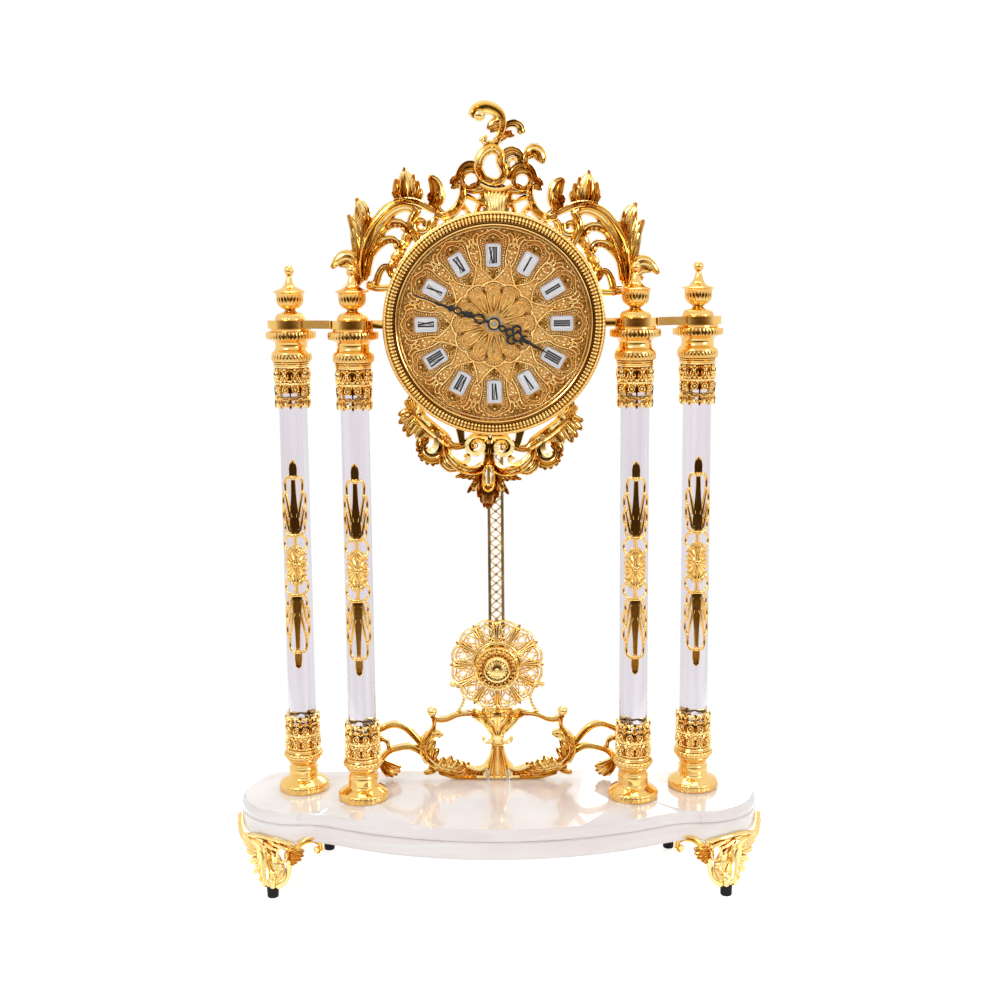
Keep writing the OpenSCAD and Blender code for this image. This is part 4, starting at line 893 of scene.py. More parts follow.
class CLOCK_OT_dial(bpy.types.Operator):
    """Embossed dial: stippled plate, twelve-petal rosette and twelve ornament frames"""

    bl_idname = "clock.dial"
    bl_label = "Dial"

    def execute(self, context):
        made = finishes()
        at = (0, 0, AXIS_Z)
        plate = turned("dial_face", [
            (4.1, DIAL_Y), (7, DIAL_Y), (30, DIAL_Y), (69, DIAL_Y), (72.3, DIAL_Y), (72.3, DIAL_Y + 1.2),
            (4.1, DIAL_Y + 1.2), (4.1, DIAL_Y),
        ], at, False, 180)
        relief = Casting()
        for k in range(12):
            mark = relief.mark()
            relief.stroke([(0, 8), (2.6, 13), (4.3, 18.5), (4.0, 23), (0, 26.2), (-4.0, 23), (-4.3, 18.5),
                           (-2.6, 13)], 1.2, 1.3, closed=True)
            relief.leaf([(0, 9), (0.2, 15), (0, 21)], 2.2, 0.8)
            relief.stroke([(-7, 26.6), (-4.8, 29.2), (0, 30.4), (4.8, 29.2), (7, 26.6)], 1.7, 1.4)
            relief.beads([(-6.4, 25), (-4.2, 27.8), (0, 28.8), (4.2, 27.8), (6.4, 25)], 0.75, 1.7, 0.4)
            relief.ball(7.4, 27.6, 1.3, 0.4, 0.7)
            relief.leaf([(5.2, 22), (6, 24.4), (6.4, 27)], 1.8, 1.2)
            relief.leaf([(0, 30), (0, 32), (0, 33.6)], 2.6, 1.3)
            half = relief.mark()
            frame_half(relief)
            relief.mirror(half)
            relief.ball(0, 61.2, 1.2, 0.4)
            relief.turn(30 * k, mark)
        relief.arc(68.4, 0, 360, 1.6, 0.9)
        for k in range(12):
            mark = relief.mark()
            for u, z, size in (
                (15.6, 50, 1.1), (17.6, 54.6, 1.3), (17, 59, 1.1), (13.4, 49.6, 0.9), (12.4, 46.6, 0.9),
                (11.6, 43.6, 0.8), (7.8, 35, 0.9), (5.4, 33.4, 0.8), (8, 65.8, 1.0), (4, 66.6, 0.9),
            ):
                for s in (1, -1):
                    relief.ball(s * u, z, size, 0.4, 0.8, 6, 3)
            for s in (-1, 1):
                relief.stroke([(s * 15.8, 61.6), (s * 16.6, 58), (s * 15.2, 54.6), (s * 12.6, 53.6)],
                              1.3, 1.2, steps=3)
            relief.turn(30 * k, mark)
        relief.move(lambda u, z, d: (u, z, d * DIAL_RISE))
        ornament = relief.make("dial_relief", on_plane(DIAL_Y, 0, AXIS_Z), 50)
        finish(plate, "clock", made["dial"], "gilt_dial", "dial_plate")
        finish(ornament, "clock", made["embossed"], "gilt_dial")
        return {"FINISHED"}


# Numeral plates, in mm: their size, how far their middle is from the dial's, and the height of a letter
PLATE_WIDE, PLATE_THICK, PLATE_TALL = 10.4, 1.0, 16.4
PLATE_REACH = 48.7
LETTER_TOP = 5.6
# How far each letter takes up its line, and its heavy, thin and serif strokes
LETTER_ADVANCE = {"I": 1.55, "V": 2.7, "X": 2.6}
HEAVY, THIN, SERIF = 1.2, 0.5, 0.34
INK = 0.16


def letter(drawing, shape, x):
    """One Roman letter about x on a plate, with heavy and thin strokes."""
    top, low = LETTER_TOP, -LETTER_TOP
    strokes = {
        "I": ((x, low, x, top, HEAVY),),
        "V": ((x - 1.0, top, x + 0.1, low, HEAVY), (x + 1.2, top, x + 0.2, low, THIN)),
        "X": ((x - 1.0, top, x + 1.0, low, HEAVY), (x + 1.1, top, x - 1.1, low, THIN)),
    }
    for u, z, u2, z2, width in strokes[shape]:
        drawing.stroke([(u, z), (u2, z2)], width, INK, FLAT, steps=1)
    reach = 0.75 if shape == "I" else 1.5
    for z in (top,) if shape == "V" else (top, low):
        drawing.stroke([(x - reach, z), (x + reach, z)], SERIF, INK, FLAT, steps=1)


def enamel_plate():
    """One plate in the middle of the frame: wider at the top, with round corners and a raised middle."""
    clear()
    bpy.ops.mesh.primitive_cube_add(
        size=1, location=(0, 0, 0), scale=(PLATE_WIDE * MM, PLATE_THICK * MM, PLATE_TALL * MM),
    )
    plate = bpy.context.object
    bpy.ops.object.transform_apply(location=True, rotation=True, scale=True)
    for v in plate.data.vertices:
        if v.co.z > 0:
            v.co.x *= 1.08
        v.co.y -= PLATE_THICK / 2 * MM
    pick(plate)
    bpy.ops.object.mode_set(mode="EDIT")
    bpy.ops.mesh.select_all(action="DESELECT")
    bpy.ops.object.mode_set(mode="OBJECT")
    for edge in plate.data.edges:
        a, b = (plate.data.vertices[i].co for i in edge.vertices)
        edge.select = abs(a.y - b.y) > PLATE_THICK / 2 * MM
    bpy.ops.object.mode_set(mode="EDIT")
    bpy.ops.mesh.bevel(offset=2.0 * MM, segments=5, affect="EDGES")
    bpy.ops.mesh.select_all(action="DESELECT")
    bpy.ops.object.mode_set(mode="OBJECT")
    for face in plate.data.polygons:
        face.select = face.normal.y < -0.9
    bpy.ops.object.mode_set(mode="EDIT")
    bpy.ops.mesh.inset(thickness=0.45 * MM)
    bpy.ops.transform.translate(value=(0, -0.25 * MM, 0))
    bpy.ops.object.mode_set(mode="OBJECT")
    return plate


class CLOCK_OT_numerals(bpy.types.Operator):
    """Twelve enamel plates with black Roman numerals"""

    bl_idname = "clock.numerals"
    bl_label = "Numeral plates"

    def execute(self, context):
        made = finishes()
        plates = []
        figures = Casting()
        words = ("XII", "I", "II", "III", "IIII", "V", "VI", "VII", "VIII", "IX", "X", "XI")
        middle = Matrix.Translation(Vector((0, DIAL_Y, AXIS_Z)) * MM)
        outwards = Matrix.Translation((0, 0, PLATE_REACH * MM))
        for k, word in enumerate(words):
            plate = enamel_plate()
            plate.data.transform(middle @ Matrix.Rotation(math.radians(30 * k), 4, "Y") @ outwards)
            smooth(plate, 35)
            plates.append(plate)
            mark = figures.mark()
            x = -sum(LETTER_ADVANCE[c] for c in word) / 2
            for c in word:
                letter(figures, c, x + LETTER_ADVANCE[c] / 2)
                x += LETTER_ADVANCE[c]
            figures.move(lambda u, z, d: (u, z + PLATE_REACH, d), mark)
            figures.turn(30 * k, mark)
        enamel = join("enamel_plates", plates)
        finish(enamel, "clock", made["enamel"], "enamel", "numeral_cartouches")
        numerals = figures.make("numerals", on_plane(DIAL_Y - 1.25, 0, AXIS_Z), 30)
        finish(numerals, "clock", made["black"], "black_steel")
        return {"FINISHED"}


class CLOCK_OT_hands(bpy.types.Operator):
    """Black serpentine hands"""

    bl_idname = "clock.hands"
    bl_label = "Hands"

    def execute(self, context):
        made = finishes()
        dark = made["black"]
        minute = Casting(1.4)
        minute.ring(0, 0, 3.2, 2.0, 0.5, FLAT)
        minute.stroke([(0, 4), (0, 7.4)], (1.8, 1.3), 0.5)
        half = minute.mark()
        minute.stroke([(0, 7), (2.4, 8.6), (2.9, 11.4), (1.6, 14), (0, 16)], (1.2, 1.0), 0.5)
        minute.stroke([(0, 16), (1.7, 18), (1.3, 20), (2.2, 21.6)], (1.3, 0.8), 0.5)
        minute.stroke([(0, 24.6), (1.9, 26), (2.1, 28.2), (0.6, 30.4)], (1.0, 0.9), 0.5)
        minute.stroke([(0, 31), (1.6, 32), (2.2, 33.6)], (1.2, 0.6), 0.5)
        minute.mirror(half)
        minute.stroke([(0, 15), (0, 25)], (1.8, 1.6), 0.5)
        minute.stroke([(0, 30), (0, 38), (0, 50), (0, 61.6)], (2.0, 1.2, 0.8, 0.5), 0.5)
        minute.ball(0, 33.5, 1.7, 0.1, 0.2)
        minute.turn(290.5)
        piece = minute.make("hand_minute", on_plane(DIAL_Y - 3.1, 0, AXIS_Z), 50)
        finish(piece, "minute_arbor", dark, "black_steel", "minute_hand")
        hour = Casting(1.45)
        hour.ring(0, 0, 3.7, 1.25, 0.5, FLAT)
        half = hour.mark()
        hour.stroke([(0, 4.4), (1.5, 6), (1.5, 8.4), (0, 10)], 1.0, 0.5)
        hour.stroke([(0, 10), (2.0, 11.4), (2.3, 13.6), (0.8, 15.4), (0, 16)], 1.1, 0.5)
        hour.stroke([(1.6, 14.6), (4.4, 13.6), (6.6, 15.4), (6.4, 18.2), (4.2, 19.4), (3.0, 18)],
                    (1.4, 1.0), 0.5)
        hour.stroke([(0, 16), (2.6, 17.6), (2.9, 20.2), (1.0, 22.4), (0, 23)], 1.1, 0.5)
        hour.stroke([(0.6, 22), (2.8, 23.4), (3.4, 25.6)], (1.3, 0.7), 0.5)
        hour.ball(3.2, 17.6, 1.1, 0.3, 0.2)
        hour.mirror(half)
        hour.stroke([(0, 22), (0, 28), (0, 36), (0, 42.8)], (2.4, 1.6, 1.0, 0.6), 0.5)
        hour.ball(0, 27, 1.7, 0.3, 0.15)
        hour.turn(119)
        piece = hour.make("hand_hour", on_plane(DIAL_Y - 2.1, 0, AXIS_Z), 50)
        finish(piece, "hour_tube", dark, "black_steel", "hour_hand")
        return {"FINISHED"}


def crest_side(c):
    """Right half of the crest: great scroll, three leaf sprays and the curls within."""
    c.stroke([(95.4, 30), (96, 40), (94, 51), (90.5, 61.5), (85, 71.5), (78, 79.4), (69, 83.6), (62, 83),
              (57, 78.6)], (4.4, 7, 8.6, 9, 8.6, 7.4, 6), (4.4, 5.6, 6.4, 6.4, 6, 4.8), LEAF)
    c.stroke([(98, 31), (98.6, 40), (96.4, 54), (91, 66), (82, 77.6), (73, 84.6)], (1.6, 2.2, 2.2, 1.8), 5.2)
    c.stroke([(74, 86.4), (67, 87.2), (59, 86.4), (52, 83.4), (45, 80)], (3, 4.2, 4.4, 3.6), 4.8, SCROLL)
    for u, z in (
        (55.2, 97), (57.4, 102.5), (60.8, 107), (67.6, 112), (69.4, 105.6), (73.6, 103.6), (74.4, 95.6),
    ):
        c.leaf([(62 + (u - 62) * 0.6, 85), (62 + (u - 62) * 0.9, 92), (u - 0.6, z - 1.2)], 3.9, 5.2)
    c.leaf([(64, 86), (65, 95), (66.4, 106)], 4.4, 5.8)
    c.stroke([(64.4, 85), (64.6, 94), (65.8, 102), (67, 108)], (16.5, 15.6, 10, 4), (3, 3.6, 3.4, 3))
    c.leaf([(47, 82), (42, 87), (41.4, 95), (44, 101.4), (48.6, 104.6)], 5.4, 5.2)
    c.leaf([(48, 84), (45.8, 92), (46.8, 99), (49, 103.4)], 3.4, 5.6)
    c.stroke([(43, 82.6), (42, 88), (44.4, 92.4), (48.4, 91.6), (48.6, 88), (46, 87.2)],
             (3.4, 3, 2.2), 5.2, SCROLL)
    c.stroke([(98, 34), (98, 50), (98.6, 66), (97.4, 78), (100, 86)], (5, 11, 13, 10, 5),
             (2.8, 3.4, 3.4, 3.2, 3))
    c.leaf([(97, 32), (96.6, 48), (95.6, 63), (97, 77), (101.6, 88)], 5.6, 5.0)
    c.leaf([(98, 40), (100.2, 56), (103.2, 67), (107.6, 76)], 4.8, 4.8)
    c.leaf([(98, 36), (101.2, 49), (104.6, 60)], 3.9, 4.4)
    c.leaf([(96, 50), (93, 63), (90.8, 74)], 3.8, 4.2)
    c.leaf([(97.4, 60), (94.4, 74), (93.4, 82)], 3.4, 4.8)
    c.leaf([(96.8, 56), (93.6, 70), (95.4, 83)], 4.2, 4.8)
    c.leaf([(98, 62), (100, 72), (101.6, 82)], 3, 5.2)
    c.leaf([(98.6, 28), (100.6, 39.6), (106.6, 46), (113.4, 44.8), (119.6, 38)], 6.2, 4.6)
    c.leaf([(99.4, 28), (103.4, 37), (108.6, 40.6), (114, 39.4)], 4.6, 4.2)
    c.leaf([(99.4, 27), (104, 33), (108.8, 34.8)], 3.8, 3.6)
    c.leaf([(99, 26), (103.4, 28), (107, 30)], 3.2, 3.2)
    c.stroke([(93.6, 46), (88, 59), (82, 67), (75, 70.8), (68.6, 70.4), (64.8, 67.4), (66.4, 65)],
             (6.6, 6.4, 6, 4.8, 3.2), (4.6, 5.2, 5, 4.2), LEAF)
    c.frill([(86, 62), (80, 68.4), (74, 71), (69, 71)], -1, 5, (2.6, 3.4), 2.4, 4.2, 0.8)
    c.ball(67.6, 66.6, 1.8, 3.6)
    c.stroke([(94.4, 33), (92, 46), (87, 53.4), (80, 58.4), (74, 58.6), (71, 55.4), (73.4, 53.2)],
             (5.4, 5.8, 5.4, 4.4, 3), (4.6, 5, 4.8, 4), LEAF)
    c.frill([(85, 55), (80, 58.6), (75, 59.4)], -1, 4, (2.2, 3), 2.2, 4, 0.8)
    c.ball(73.2, 55, 1.7, 3.4)
    c.stroke([(93, 25.6), (87.6, 27), (85, 34), (82, 38.6), (78, 39), (75.4, 35.2)],
             (4.8, 4.6, 4.2, 3.2), 4.6, LEAF)
    c.stroke([(76, 24), (84, 23.4), (93, 24.6)], 4.2, 4.2, SCROLL)
    c.stroke([(57.4, 80), (61, 73), (59.4, 65), (56, 57)], (5, 6.2, 6, 4.4), 5.2, LEAF)
    c.stroke([(48.8, 72), (50, 66), (55.4, 64.8), (58.4, 68.6), (56.6, 72.8), (52.6, 72.6), (52.2, 69.6)],
             (4, 4.4, 4, 2.8), 5.2, SCROLL)
    c.leaf([(46, 66), (46, 71), (42.6, 76.4)], 4.4, 4.2)
    c.leaf([(60, 67), (65.4, 61), (65.4, 54)], 4.4, 4)
    c.leaf([(62, 60), (69, 53), (68.4, 45.6)], 4.4, 4)
    c.leaf([(66, 53), (73.6, 46), (72.4, 38.6)], 4.2, 4)
    c.leaf([(70, 46), (77, 39), (75.4, 31)], 4, 4)
    c.stroke([(43.8, 77.6), (38, 76.4), (31.6, 79.2), (27, 84.6), (24.4, 92), (24.6, 99.6)],
             (3.8, 5.4, 5.8, 5, 4.2), (4.4, 5.4, 5.4, 4.8), SCROLL)
    c.leaf([(37, 77.4), (41.4, 80.8), (45, 83.4)], 3.4, 4)
    c.ring(18.6, 103, 6.2, 3.4, 5.6, SCROLL)
    c.stroke([(9, 104.6), (13, 111.4), (20, 114), (25.6, 110.6), (28.6, 104.6), (32.6, 99.6)],
             (4.6, 4.6, 4.2, 3.4, 1.6), (4.6, 5.2, 5, 4), LEAF)
    c.leaf([(27, 104), (30.4, 103), (33.6, 100)], 3.4, 4.4)
    c.leaf([(25.4, 99), (29, 98.6), (33, 96.6)], 3, 4)
    c.stroke([(24.6, 97), (16, 94.6), (8, 96), (3, 99)], (3.2, 3.4, 3), 4.2, SCROLL)
    c.stroke([(25, 92.4), (16, 89), (8, 84)], (3.6, 3, 2.4), 4, RIDGE)
    c.stroke([(26.4, 87.6), (22, 82), (18, 77)], (4, 3.4), 4, RIDGE)
    c.stroke([(9.4, 94), (12.6, 85), (14, 77.4)], (2.8, 3.8), 4, RIDGE)
    c.leaf([(11, 99.6), (16, 99), (22, 95.6)], 2.6, 5)
    c.stroke([(36.4, 79), (34, 73)], (4.6, 7), 4.2, RIDGE)


def crest_plume(c):
    """Lopsided top of the crest."""
    c.stroke([(-2, 101), (-9.4, 104), (-13.4, 111.6), (-11, 120.4), (-4, 125.4), (2, 122), (2.8, 115.4),
              (5.8, 109), (3.4, 103), (-2, 101)],
             (4.8, 5.8, 6, 5.8, 5, 4.8), (5, 6.4, 6.2, 5.4), SCROLL)
    c.frill([(-12, 105.6), (-14.6, 112), (-12, 119.6)], -1, 4, (1.8, 2.6), 2.4, 4)
    c.stroke([(5.6, 106.6), (3.4, 113), (3.8, 119), (7.6, 123.2), (12.6, 124), (16.6, 121.4), (16, 117.4)],
             (3.8, 4.6, 5, 4.6, 3.2), (4.6, 5.4, 5.4, 4.4), LEAF)
    c.stroke([(8, 112), (9, 117.4), (13, 118.6), (14.4, 115.4)], (2.6, 2.8, 2), 5)
    c.stroke([(26, 106.6), (21.6, 113), (21, 119.4), (24.8, 122.8)], (3, 3.4, 3.6), 4.6, SCROLL)
    c.leaf([(22, 120), (26, 124.2), (31, 121.6), (33.4, 116)], 7, 5.2)
    c.leaf([(23, 121), (28, 121.4), (31, 117)], 4, 5.6)
    c.stroke([(-3, 124.6), (1, 133), (3.6, 141), (2.6, 148), (-2, 152.4), (-9, 154.2), (-14.6, 151.8),
              (-16, 148)], (3.6, 3.8, 4.6, 6, 7.4, 8.4, 8.8), (4.4, 5, 5.6, 6.2, 6.4, 5.6), SCROLL)
    c.ball(-13.4, 148.8, 4.6, 2.6, 0.8)
    c.leaf([(3, 146), (-2, 143.4), (-7, 139.4)], 5, 4.8)
    c.leaf([(3, 140), (-1, 140), (-5, 137)], 3.2, 4.2)
    c.stroke([(3, 137.6), (6.6, 142), (12, 143.4), (16, 141.4), (17.4, 137.6)],
             (3.2, 4, 5, 5.8), (4.6, 5.4, 5), LEAF)
    c.leaf([(-3, 129), (3.4, 133.6), (10.4, 137.6)], 3.8, 4.8)
    c.leaf([(2.6, 134), (7, 135.2), (12, 134.6)], 3, 4.2)
    c.ball(-11, 131.4, 2.3, 2.4, 0.9)
    c.ball(-8.4, 133.6, 1.6, 2.4, 0.9)
    c.ball(-9.4, 128.8, 1.6, 2.4, 0.9)
    c.stroke([(-8, 131), (-4, 129.6), (0, 131.6)], (2.6, 3), 4.2)


class CLOCK_OT_crest(bpy.types.Operator):
    """Cast crest: scrolls, acanthus sprays, shell and plume"""

    bl_idname = "clock.crest"
    bl_label = "Crest"

    def execute(self, context):
        made = finishes()
        sizes = context.scene.clock_sizes
        c = Casting(1.32, 1.55)
        crest_side(c)
        c.mirror()
        c.stout = 1.36
        crest_plume(c)
        c.stroke([(0, 77), (0, 88), (0, 97)], (13, 16, 19), (3.2, 3.4, 3.2))
        for k in range(-3, 4):
            c.leaf([(k * 1.3, 77), (k * 2.0, 87), (k * 3.0, 98.6 - abs(k))], 2.6, 5.6, section=ROUND)
        c.stroke([(-12, 99.6), (-6, 96.8), (0, 95.8), (6, 96.8), (12, 99.6)], (2.4, 3.2, 2.4), 5.6)
        c.turn(math.degrees(sizes.crest_turn))
        c.arc(77, 17, 161, 4.4, 4.6, FLAT)
        rise = sizes.crest_relief / CREST_RELIEF
        c.move(lambda u, z, d: (u, z, d * rise))
        piece = c.make("crest_casting", on_plane(SWING_Y + 3, 0, AXIS_Z))
        finish(piece, "clock", made["cast"], "gilt_brass", "crest")
        return {"FINISHED"}


def drop_side(c):
    """Right half of the drop: volute, arm, curls and leaf wings."""
    c.stroke([(1.6, -82.6), (7, -81.8), (13, -82.8), (16.6, -87.4), (15, -92.6), (10, -94.8), (5.6, -92.6),
              (4.4, -88), (7.4, -84.9), (11.6, -85.6), (12.8, -88.6), (10.9, -90.8)],
             (3.4, 3.6, 3.6, 3.4, 3, 2.4), (6, 7.2, 7.2, 6))
    c.ball(10.2, -88.4, 2.1, 5.0)
    c.stroke([(15.6, -87), (20, -89.4), (27, -89.6), (34, -84.6), (44, -77.4), (54, -68.4), (61, -58)],
             (4, 4, 4.6, 8, 8.6, 8, 4.6), (5, 5, 5.4, 5.2, 5, 4.4), LEAF)
    c.stroke([(30, -89.6), (38, -84), (47, -77), (56, -68)], (2.4, 3, 3, 2), 5.6)
    c.leaf([(50, -70), (56, -76), (60, -84)], 4.8, 5)
    c.leaf([(52, -68), (58, -74), (63.4, -80)], 4.4, 5)
    c.leaf([(54, -64), (60, -69), (66.4, -74.4)], 4.6, 4.8)
    c.stroke([(50, -66), (56, -71), (60, -76)], (9, 10, 5), 3.4)
    c.leaf([(57, -66), (62, -66.4), (67, -68.4)], 4, 4.4)
    c.stroke([(1.6, -95), (2.8, -102.2), (8.6, -106.8), (18, -106.4), (26, -101.6), (31, -94), (31.6, -86.4)],
             (3.6, 4.8, 5.4, 5.4, 4.8, 4), (6.4, 6.6, 6.2, 5.4), SCROLL)
    c.stroke([(29.6, -94), (25, -98.8), (19, -101.4), (15.2, -99.6), (15.8, -96.6), (18.2, -97)],
             (3.2, 3, 2.6, 2), 5.4)
    c.stroke([(20, -105), (28, -107), (34, -102), (34.6, -95)], (3, 3.8, 4.2, 3), 5, SCROLL)
    c.stroke([(34, -83), (33.4, -91), (36.6, -98), (43, -100), (48.4, -96), (49, -90), (45.6, -86)],
             (4.4, 5, 5.4, 5.4, 5, 3.6), (5.4, 6.2, 6, 5), LEAF)
    c.stroke([(39, -79), (38.4, -86), (39.6, -92), (43, -94), (45.4, -92)], (5, 4.6, 4, 3), 5.6)
    c.stroke([(42, -76), (48, -80), (52, -85)], (11, 12, 6), 3.4)
    for u, z in ((42, -84), (46, -86), (50, -86.6), (54, -84.6)):
        c.leaf([(40 + (u - 42) * 0.5, -75), (41 + (u - 42) * 0.8, -80), (u, z)], 2.6, 5.2)
    c.frill([(35, -98.6), (41, -102.6), (48, -99.4), (51.2, -92)], 1, 7, (1.6, 2.4), 2.8, 4.6, 0.5)
    c.leaf([(46, -86), (50.4, -86.8), (53, -91)], 3.8, 5)
    for u, z in ((24, -112.4), (19.6, -113), (14.8, -113.8), (10.4, -115.4)):
        c.leaf([(2.6, -102), (2.6 + (u - 2.6) * 0.42, -103.4 + (z + 103.4) * 0.55), (u, z)], 3.4, 5.2)
    c.leaf([(6, -107), (14, -108.4), (20, -108.8)], 3.2, 4.8)
    c.stroke([(3.6, -103), (9, -108.6), (17, -111)], (5, 8.6, 5), (3.4, 3.6, 3))
    c.stroke([(4.4, -109), (6.4, -115), (11, -120.6)], (4, 8, 5), (3.4, 3.6, 3))
    c.stroke([(2.6, -118), (2.6, -124), (1.6, -131)], (5, 6, 4), (3.4, 3.6, 3))
    for u, z in ((15, -123.8), (11, -122.6), (7.8, -121.4)):
        c.leaf([(4.2, -108.6), (4.4 + (u - 4.2) * 0.4, -115), (u, z)], 3.2, 5)
    c.leaf([(4.4, -112), (6, -119), (7, -127)], 3, 4.8)
    for root, tip, low in ((3.2, 4.6, -131), (1.7, 2.4, -134.4)):
        c.leaf([(root, -118), (root + 1, -125), (tip, low)], 2.6, 5)
    c.stroke([(0, -102.6), (3, -104.4), (4.1, -110), (4.1, -116), (2.8, -120.6), (0, -122)], 1.9, 6.2)
    c.stroke([(0.6, -86), (3.6, -83.4), (5, -80)], (3, 3.6), 4.6)
    c.stroke([(6, -86), (5, -80), (6, -74)], (4, 8), 3.6, FLAT)
    c.stroke([(20, -88.6), (21.4, -80), (22, -73)], (3, 6), 3.6, FLAT)
    c.stroke([(56, -66), (57.6, -58), (56, -50)], (6, 6, 4), 4, LEAF)


class CLOCK_OT_drop(bpy.types.Operator):
    """Cast ornament below the drum"""

    bl_idname = "clock.drop"
    bl_label = "Drop ornament"

    def execute(self, context):
        made = finishes()
        c = Casting(1.3, 1.5)
        drop_side(c)
        c.mirror()
        c.stroke([(0, -84), (0, -94), (0, -103)], (3.6, 5.4, 4), 5.8, LEAF)
        c.leaf([(0, -120), (0, -127), (0, -135.3)], 3, 5.4)
        c.turn(math.degrees(context.scene.clock_sizes.drop_turn))
        piece = c.make("drop_casting", on_plane(FACE_Y + 13.8, 0, AXIS_Z))
        finish(piece, "clock", made["cast"], "gilt_brass", "drop_ornament")
        return {"FINISHED"}


def gallery_side(c):
    """Right half of the gallery; z is the height over the table."""
    c.stroke([(0, 117), (12, 115), (22, 117), (32, 116), (40, 112.6), (47, 112.6), (51.8, 115.6)],
             (4, 3.8, 3.4, 3.8, 4.2, 4, 3.4), 4.4, SCROLL)
    c.ball(51.4, 118.6, 4.3, 1.2, 0.9)
    c.stroke([(34, 116), (28, 123), (26, 131), (29, 138), (34, 141)], 1.6, 2.6)
    c.beads([(33, 116), (28, 123), (26, 131), (29, 138), (34, 141)], 1.5, 2.7, 2.2)
    c.ball(34.6, 141, 2.6, 2.6)
    c.stroke([(50.4, 113.6), (49.8, 107), (54, 100), (58.6, 92), (58.4, 84), (53, 77), (46, 72.4)],
             (3.2, 3.6, 4.6, 5.4, 5.4, 4.8, 4), (4.4, 5.2, 5.4, 4.6), SCROLL)
    c.leaf([(55, 77), (57, 88), (53, 98), (43.6, 100.4)], 7.6, 4.4)
    c.leaf([(54, 78), (53.6, 87), (49.4, 95)], 4.6, 5)
    c.leaf([(53, 76), (50, 83), (46.6, 88)], 3.6, 4.2)
    c.stroke([(54, 73.4), (46, 71.8), (38, 69.6), (30, 70.8), (24.4, 73.6), (23, 76.6)],
             (3.8, 4.2, 4.6, 3.6, 2.2), (4.4, 5, 4.4), LEAF)
    for root, tip in (((54, 75), (48.4, 79.6)), ((47, 73), (42.8, 80.6)), ((43, 71), (36.6, 81.6)),
                      ((38, 70), (31.4, 78.6)), ((33, 70), (27, 77))):
        c.leaf([root, ((root[0] + tip[0]) / 2 - 0.6, (root[1] + tip[1]) / 2 - 0.6), tip], 4.4, 4.6)
    c.stroke([(50, 74), (43, 72.4), (35, 70.6), (27, 71)], (7, 9, 8, 5), 3.4)
    c.stroke([(46, 69), (36, 66.4), (26, 65.6), (16, 65.4), (8, 65.6)], (3.4, 5, 5, 4.4), 4.6, LEAF)
    c.leaf([(49, 70.4), (54, 69.4), (58.6, 68)], 3.4, 3.8)
    c.leaf([(20, 71), (26, 67.6), (34, 67)], 4.4, 3.6)
    c.stroke([(25, 74.6), (16, 71.4), (10, 73.6), (5.4, 80.6), (4, 88.6)], (3.4, 4, 3.8, 3), 4.4)
    for k in range(5):
        c.leaf([(8 + k * 2.4, 73), (10 + k * 3, 69), (13 + k * 4, 65.4)], 2.8, 4.2)
    for k in (1.2, 3.0):
        c.stroke([(k, 90.4), (k * 1.5, 80), (k * 2.5, 65)], (1.3, 1.8, 2.8), (4.4, 5.6, 5.4))
    c.stroke([(4.0, 90.4), (6.2, 80), (11, 65.4)], (1.6, 2.4, 3.6), (3.8, 4.8, 4.6))
    c.stroke([(3.6, 94.6), (8, 93.6), (11, 95.6), (10.4, 97.6)], (3.6, 3, 2.6), 4.4)
    c.leaf([(0.8, 100), (6, 107), (11.6, 112.6), (18.6, 119.6)], 7.4, 5)
    c.leaf([(2.4, 104), (8, 112), (10.4, 121)], 5.6, 4.4)
    c.leaf([(10, 113), (16, 115), (24, 118.6)], 3.8, 4)
    c.leaf([(5, 112), (5.4, 117), (5, 122)], 4, 3.8)
    c.stroke([(56, 86), (64, 97), (72, 105.4), (81, 108.5), (90, 106), (98, 101)],
             (4.2, 4.8, 4.6, 4.2), 4.6, SCROLL)
    c.stroke([(57, 84), (68, 90), (78, 89.4), (87, 86), (92, 79), (90, 71), (85, 67)],
             (5, 4.8, 4.4, 4.6, 4.4, 3.4), 4.6, SCROLL)
    c.stroke([(86, 88), (87, 94), (91, 96.6), (96, 95.4)], (3, 3.6, 4), 4.2, SCROLL)
    c.ball(83.6, 71.4, 6.4, 0.6, 0.5)
    for u, z in ((76.4, 73), (77, 69.4), (79.6, 66.6), (83.4, 65), (87.4, 65.6)):
        c.leaf([(92, 79.6), ((92 + u) / 2 + 1.4, (80 + z) / 2), (u, z)], 2.4, 5)
    c.stroke([(94, 101), (97, 94), (96, 86)], (4, 5, 4), 3.6)


class CLOCK_OT_gallery(bpy.types.Operator):
    """Cast gallery behind the bob"""

    bl_idname = "clock.gallery"
    bl_label = "Gallery"

    def execute(self, context):
        made = finishes()
        c = Casting(1.15, 1.5)
        gallery_side(c)
        c.mirror()
        c.stroke([(0, 91), (0, 80), (0, 70), (0, 64)], (8, 11, 19, 26), (3.2, 3.6, 3.4, 3))
        c.stroke([(0, 88), (0, 94), (0, 101)], (9, 10, 8), 3.6)
        c.stroke([(-4.6, 91.4), (4.6, 91.4)], 1.6, 5)
        c.stroke([(-3.6, 99.6), (3.6, 99.6)], 1.8, 4.8)
        c.stroke([(0, 99), (0, 106), (0, 114), (0, 119)], (7, 12, 20, 26), (3.4, 3.8, 3.6, 3))
        c.leaf([(0, 99), (0, 109), (0, 121)], 4.4, 5.8)
        c.stroke([(-17, 65.4), (0, 65), (17, 65.4)], 3.4, 4.6)
        c.stroke([(-12, 67.8), (12, 67.8)], 6, 2.8, FLAT)
        piece = c.make("gallery_casting", on_plane(41.8))
        finish(piece, "clock", made["cast"], "gilt_brass", "gallery_frame")
        return {"FINISHED"}


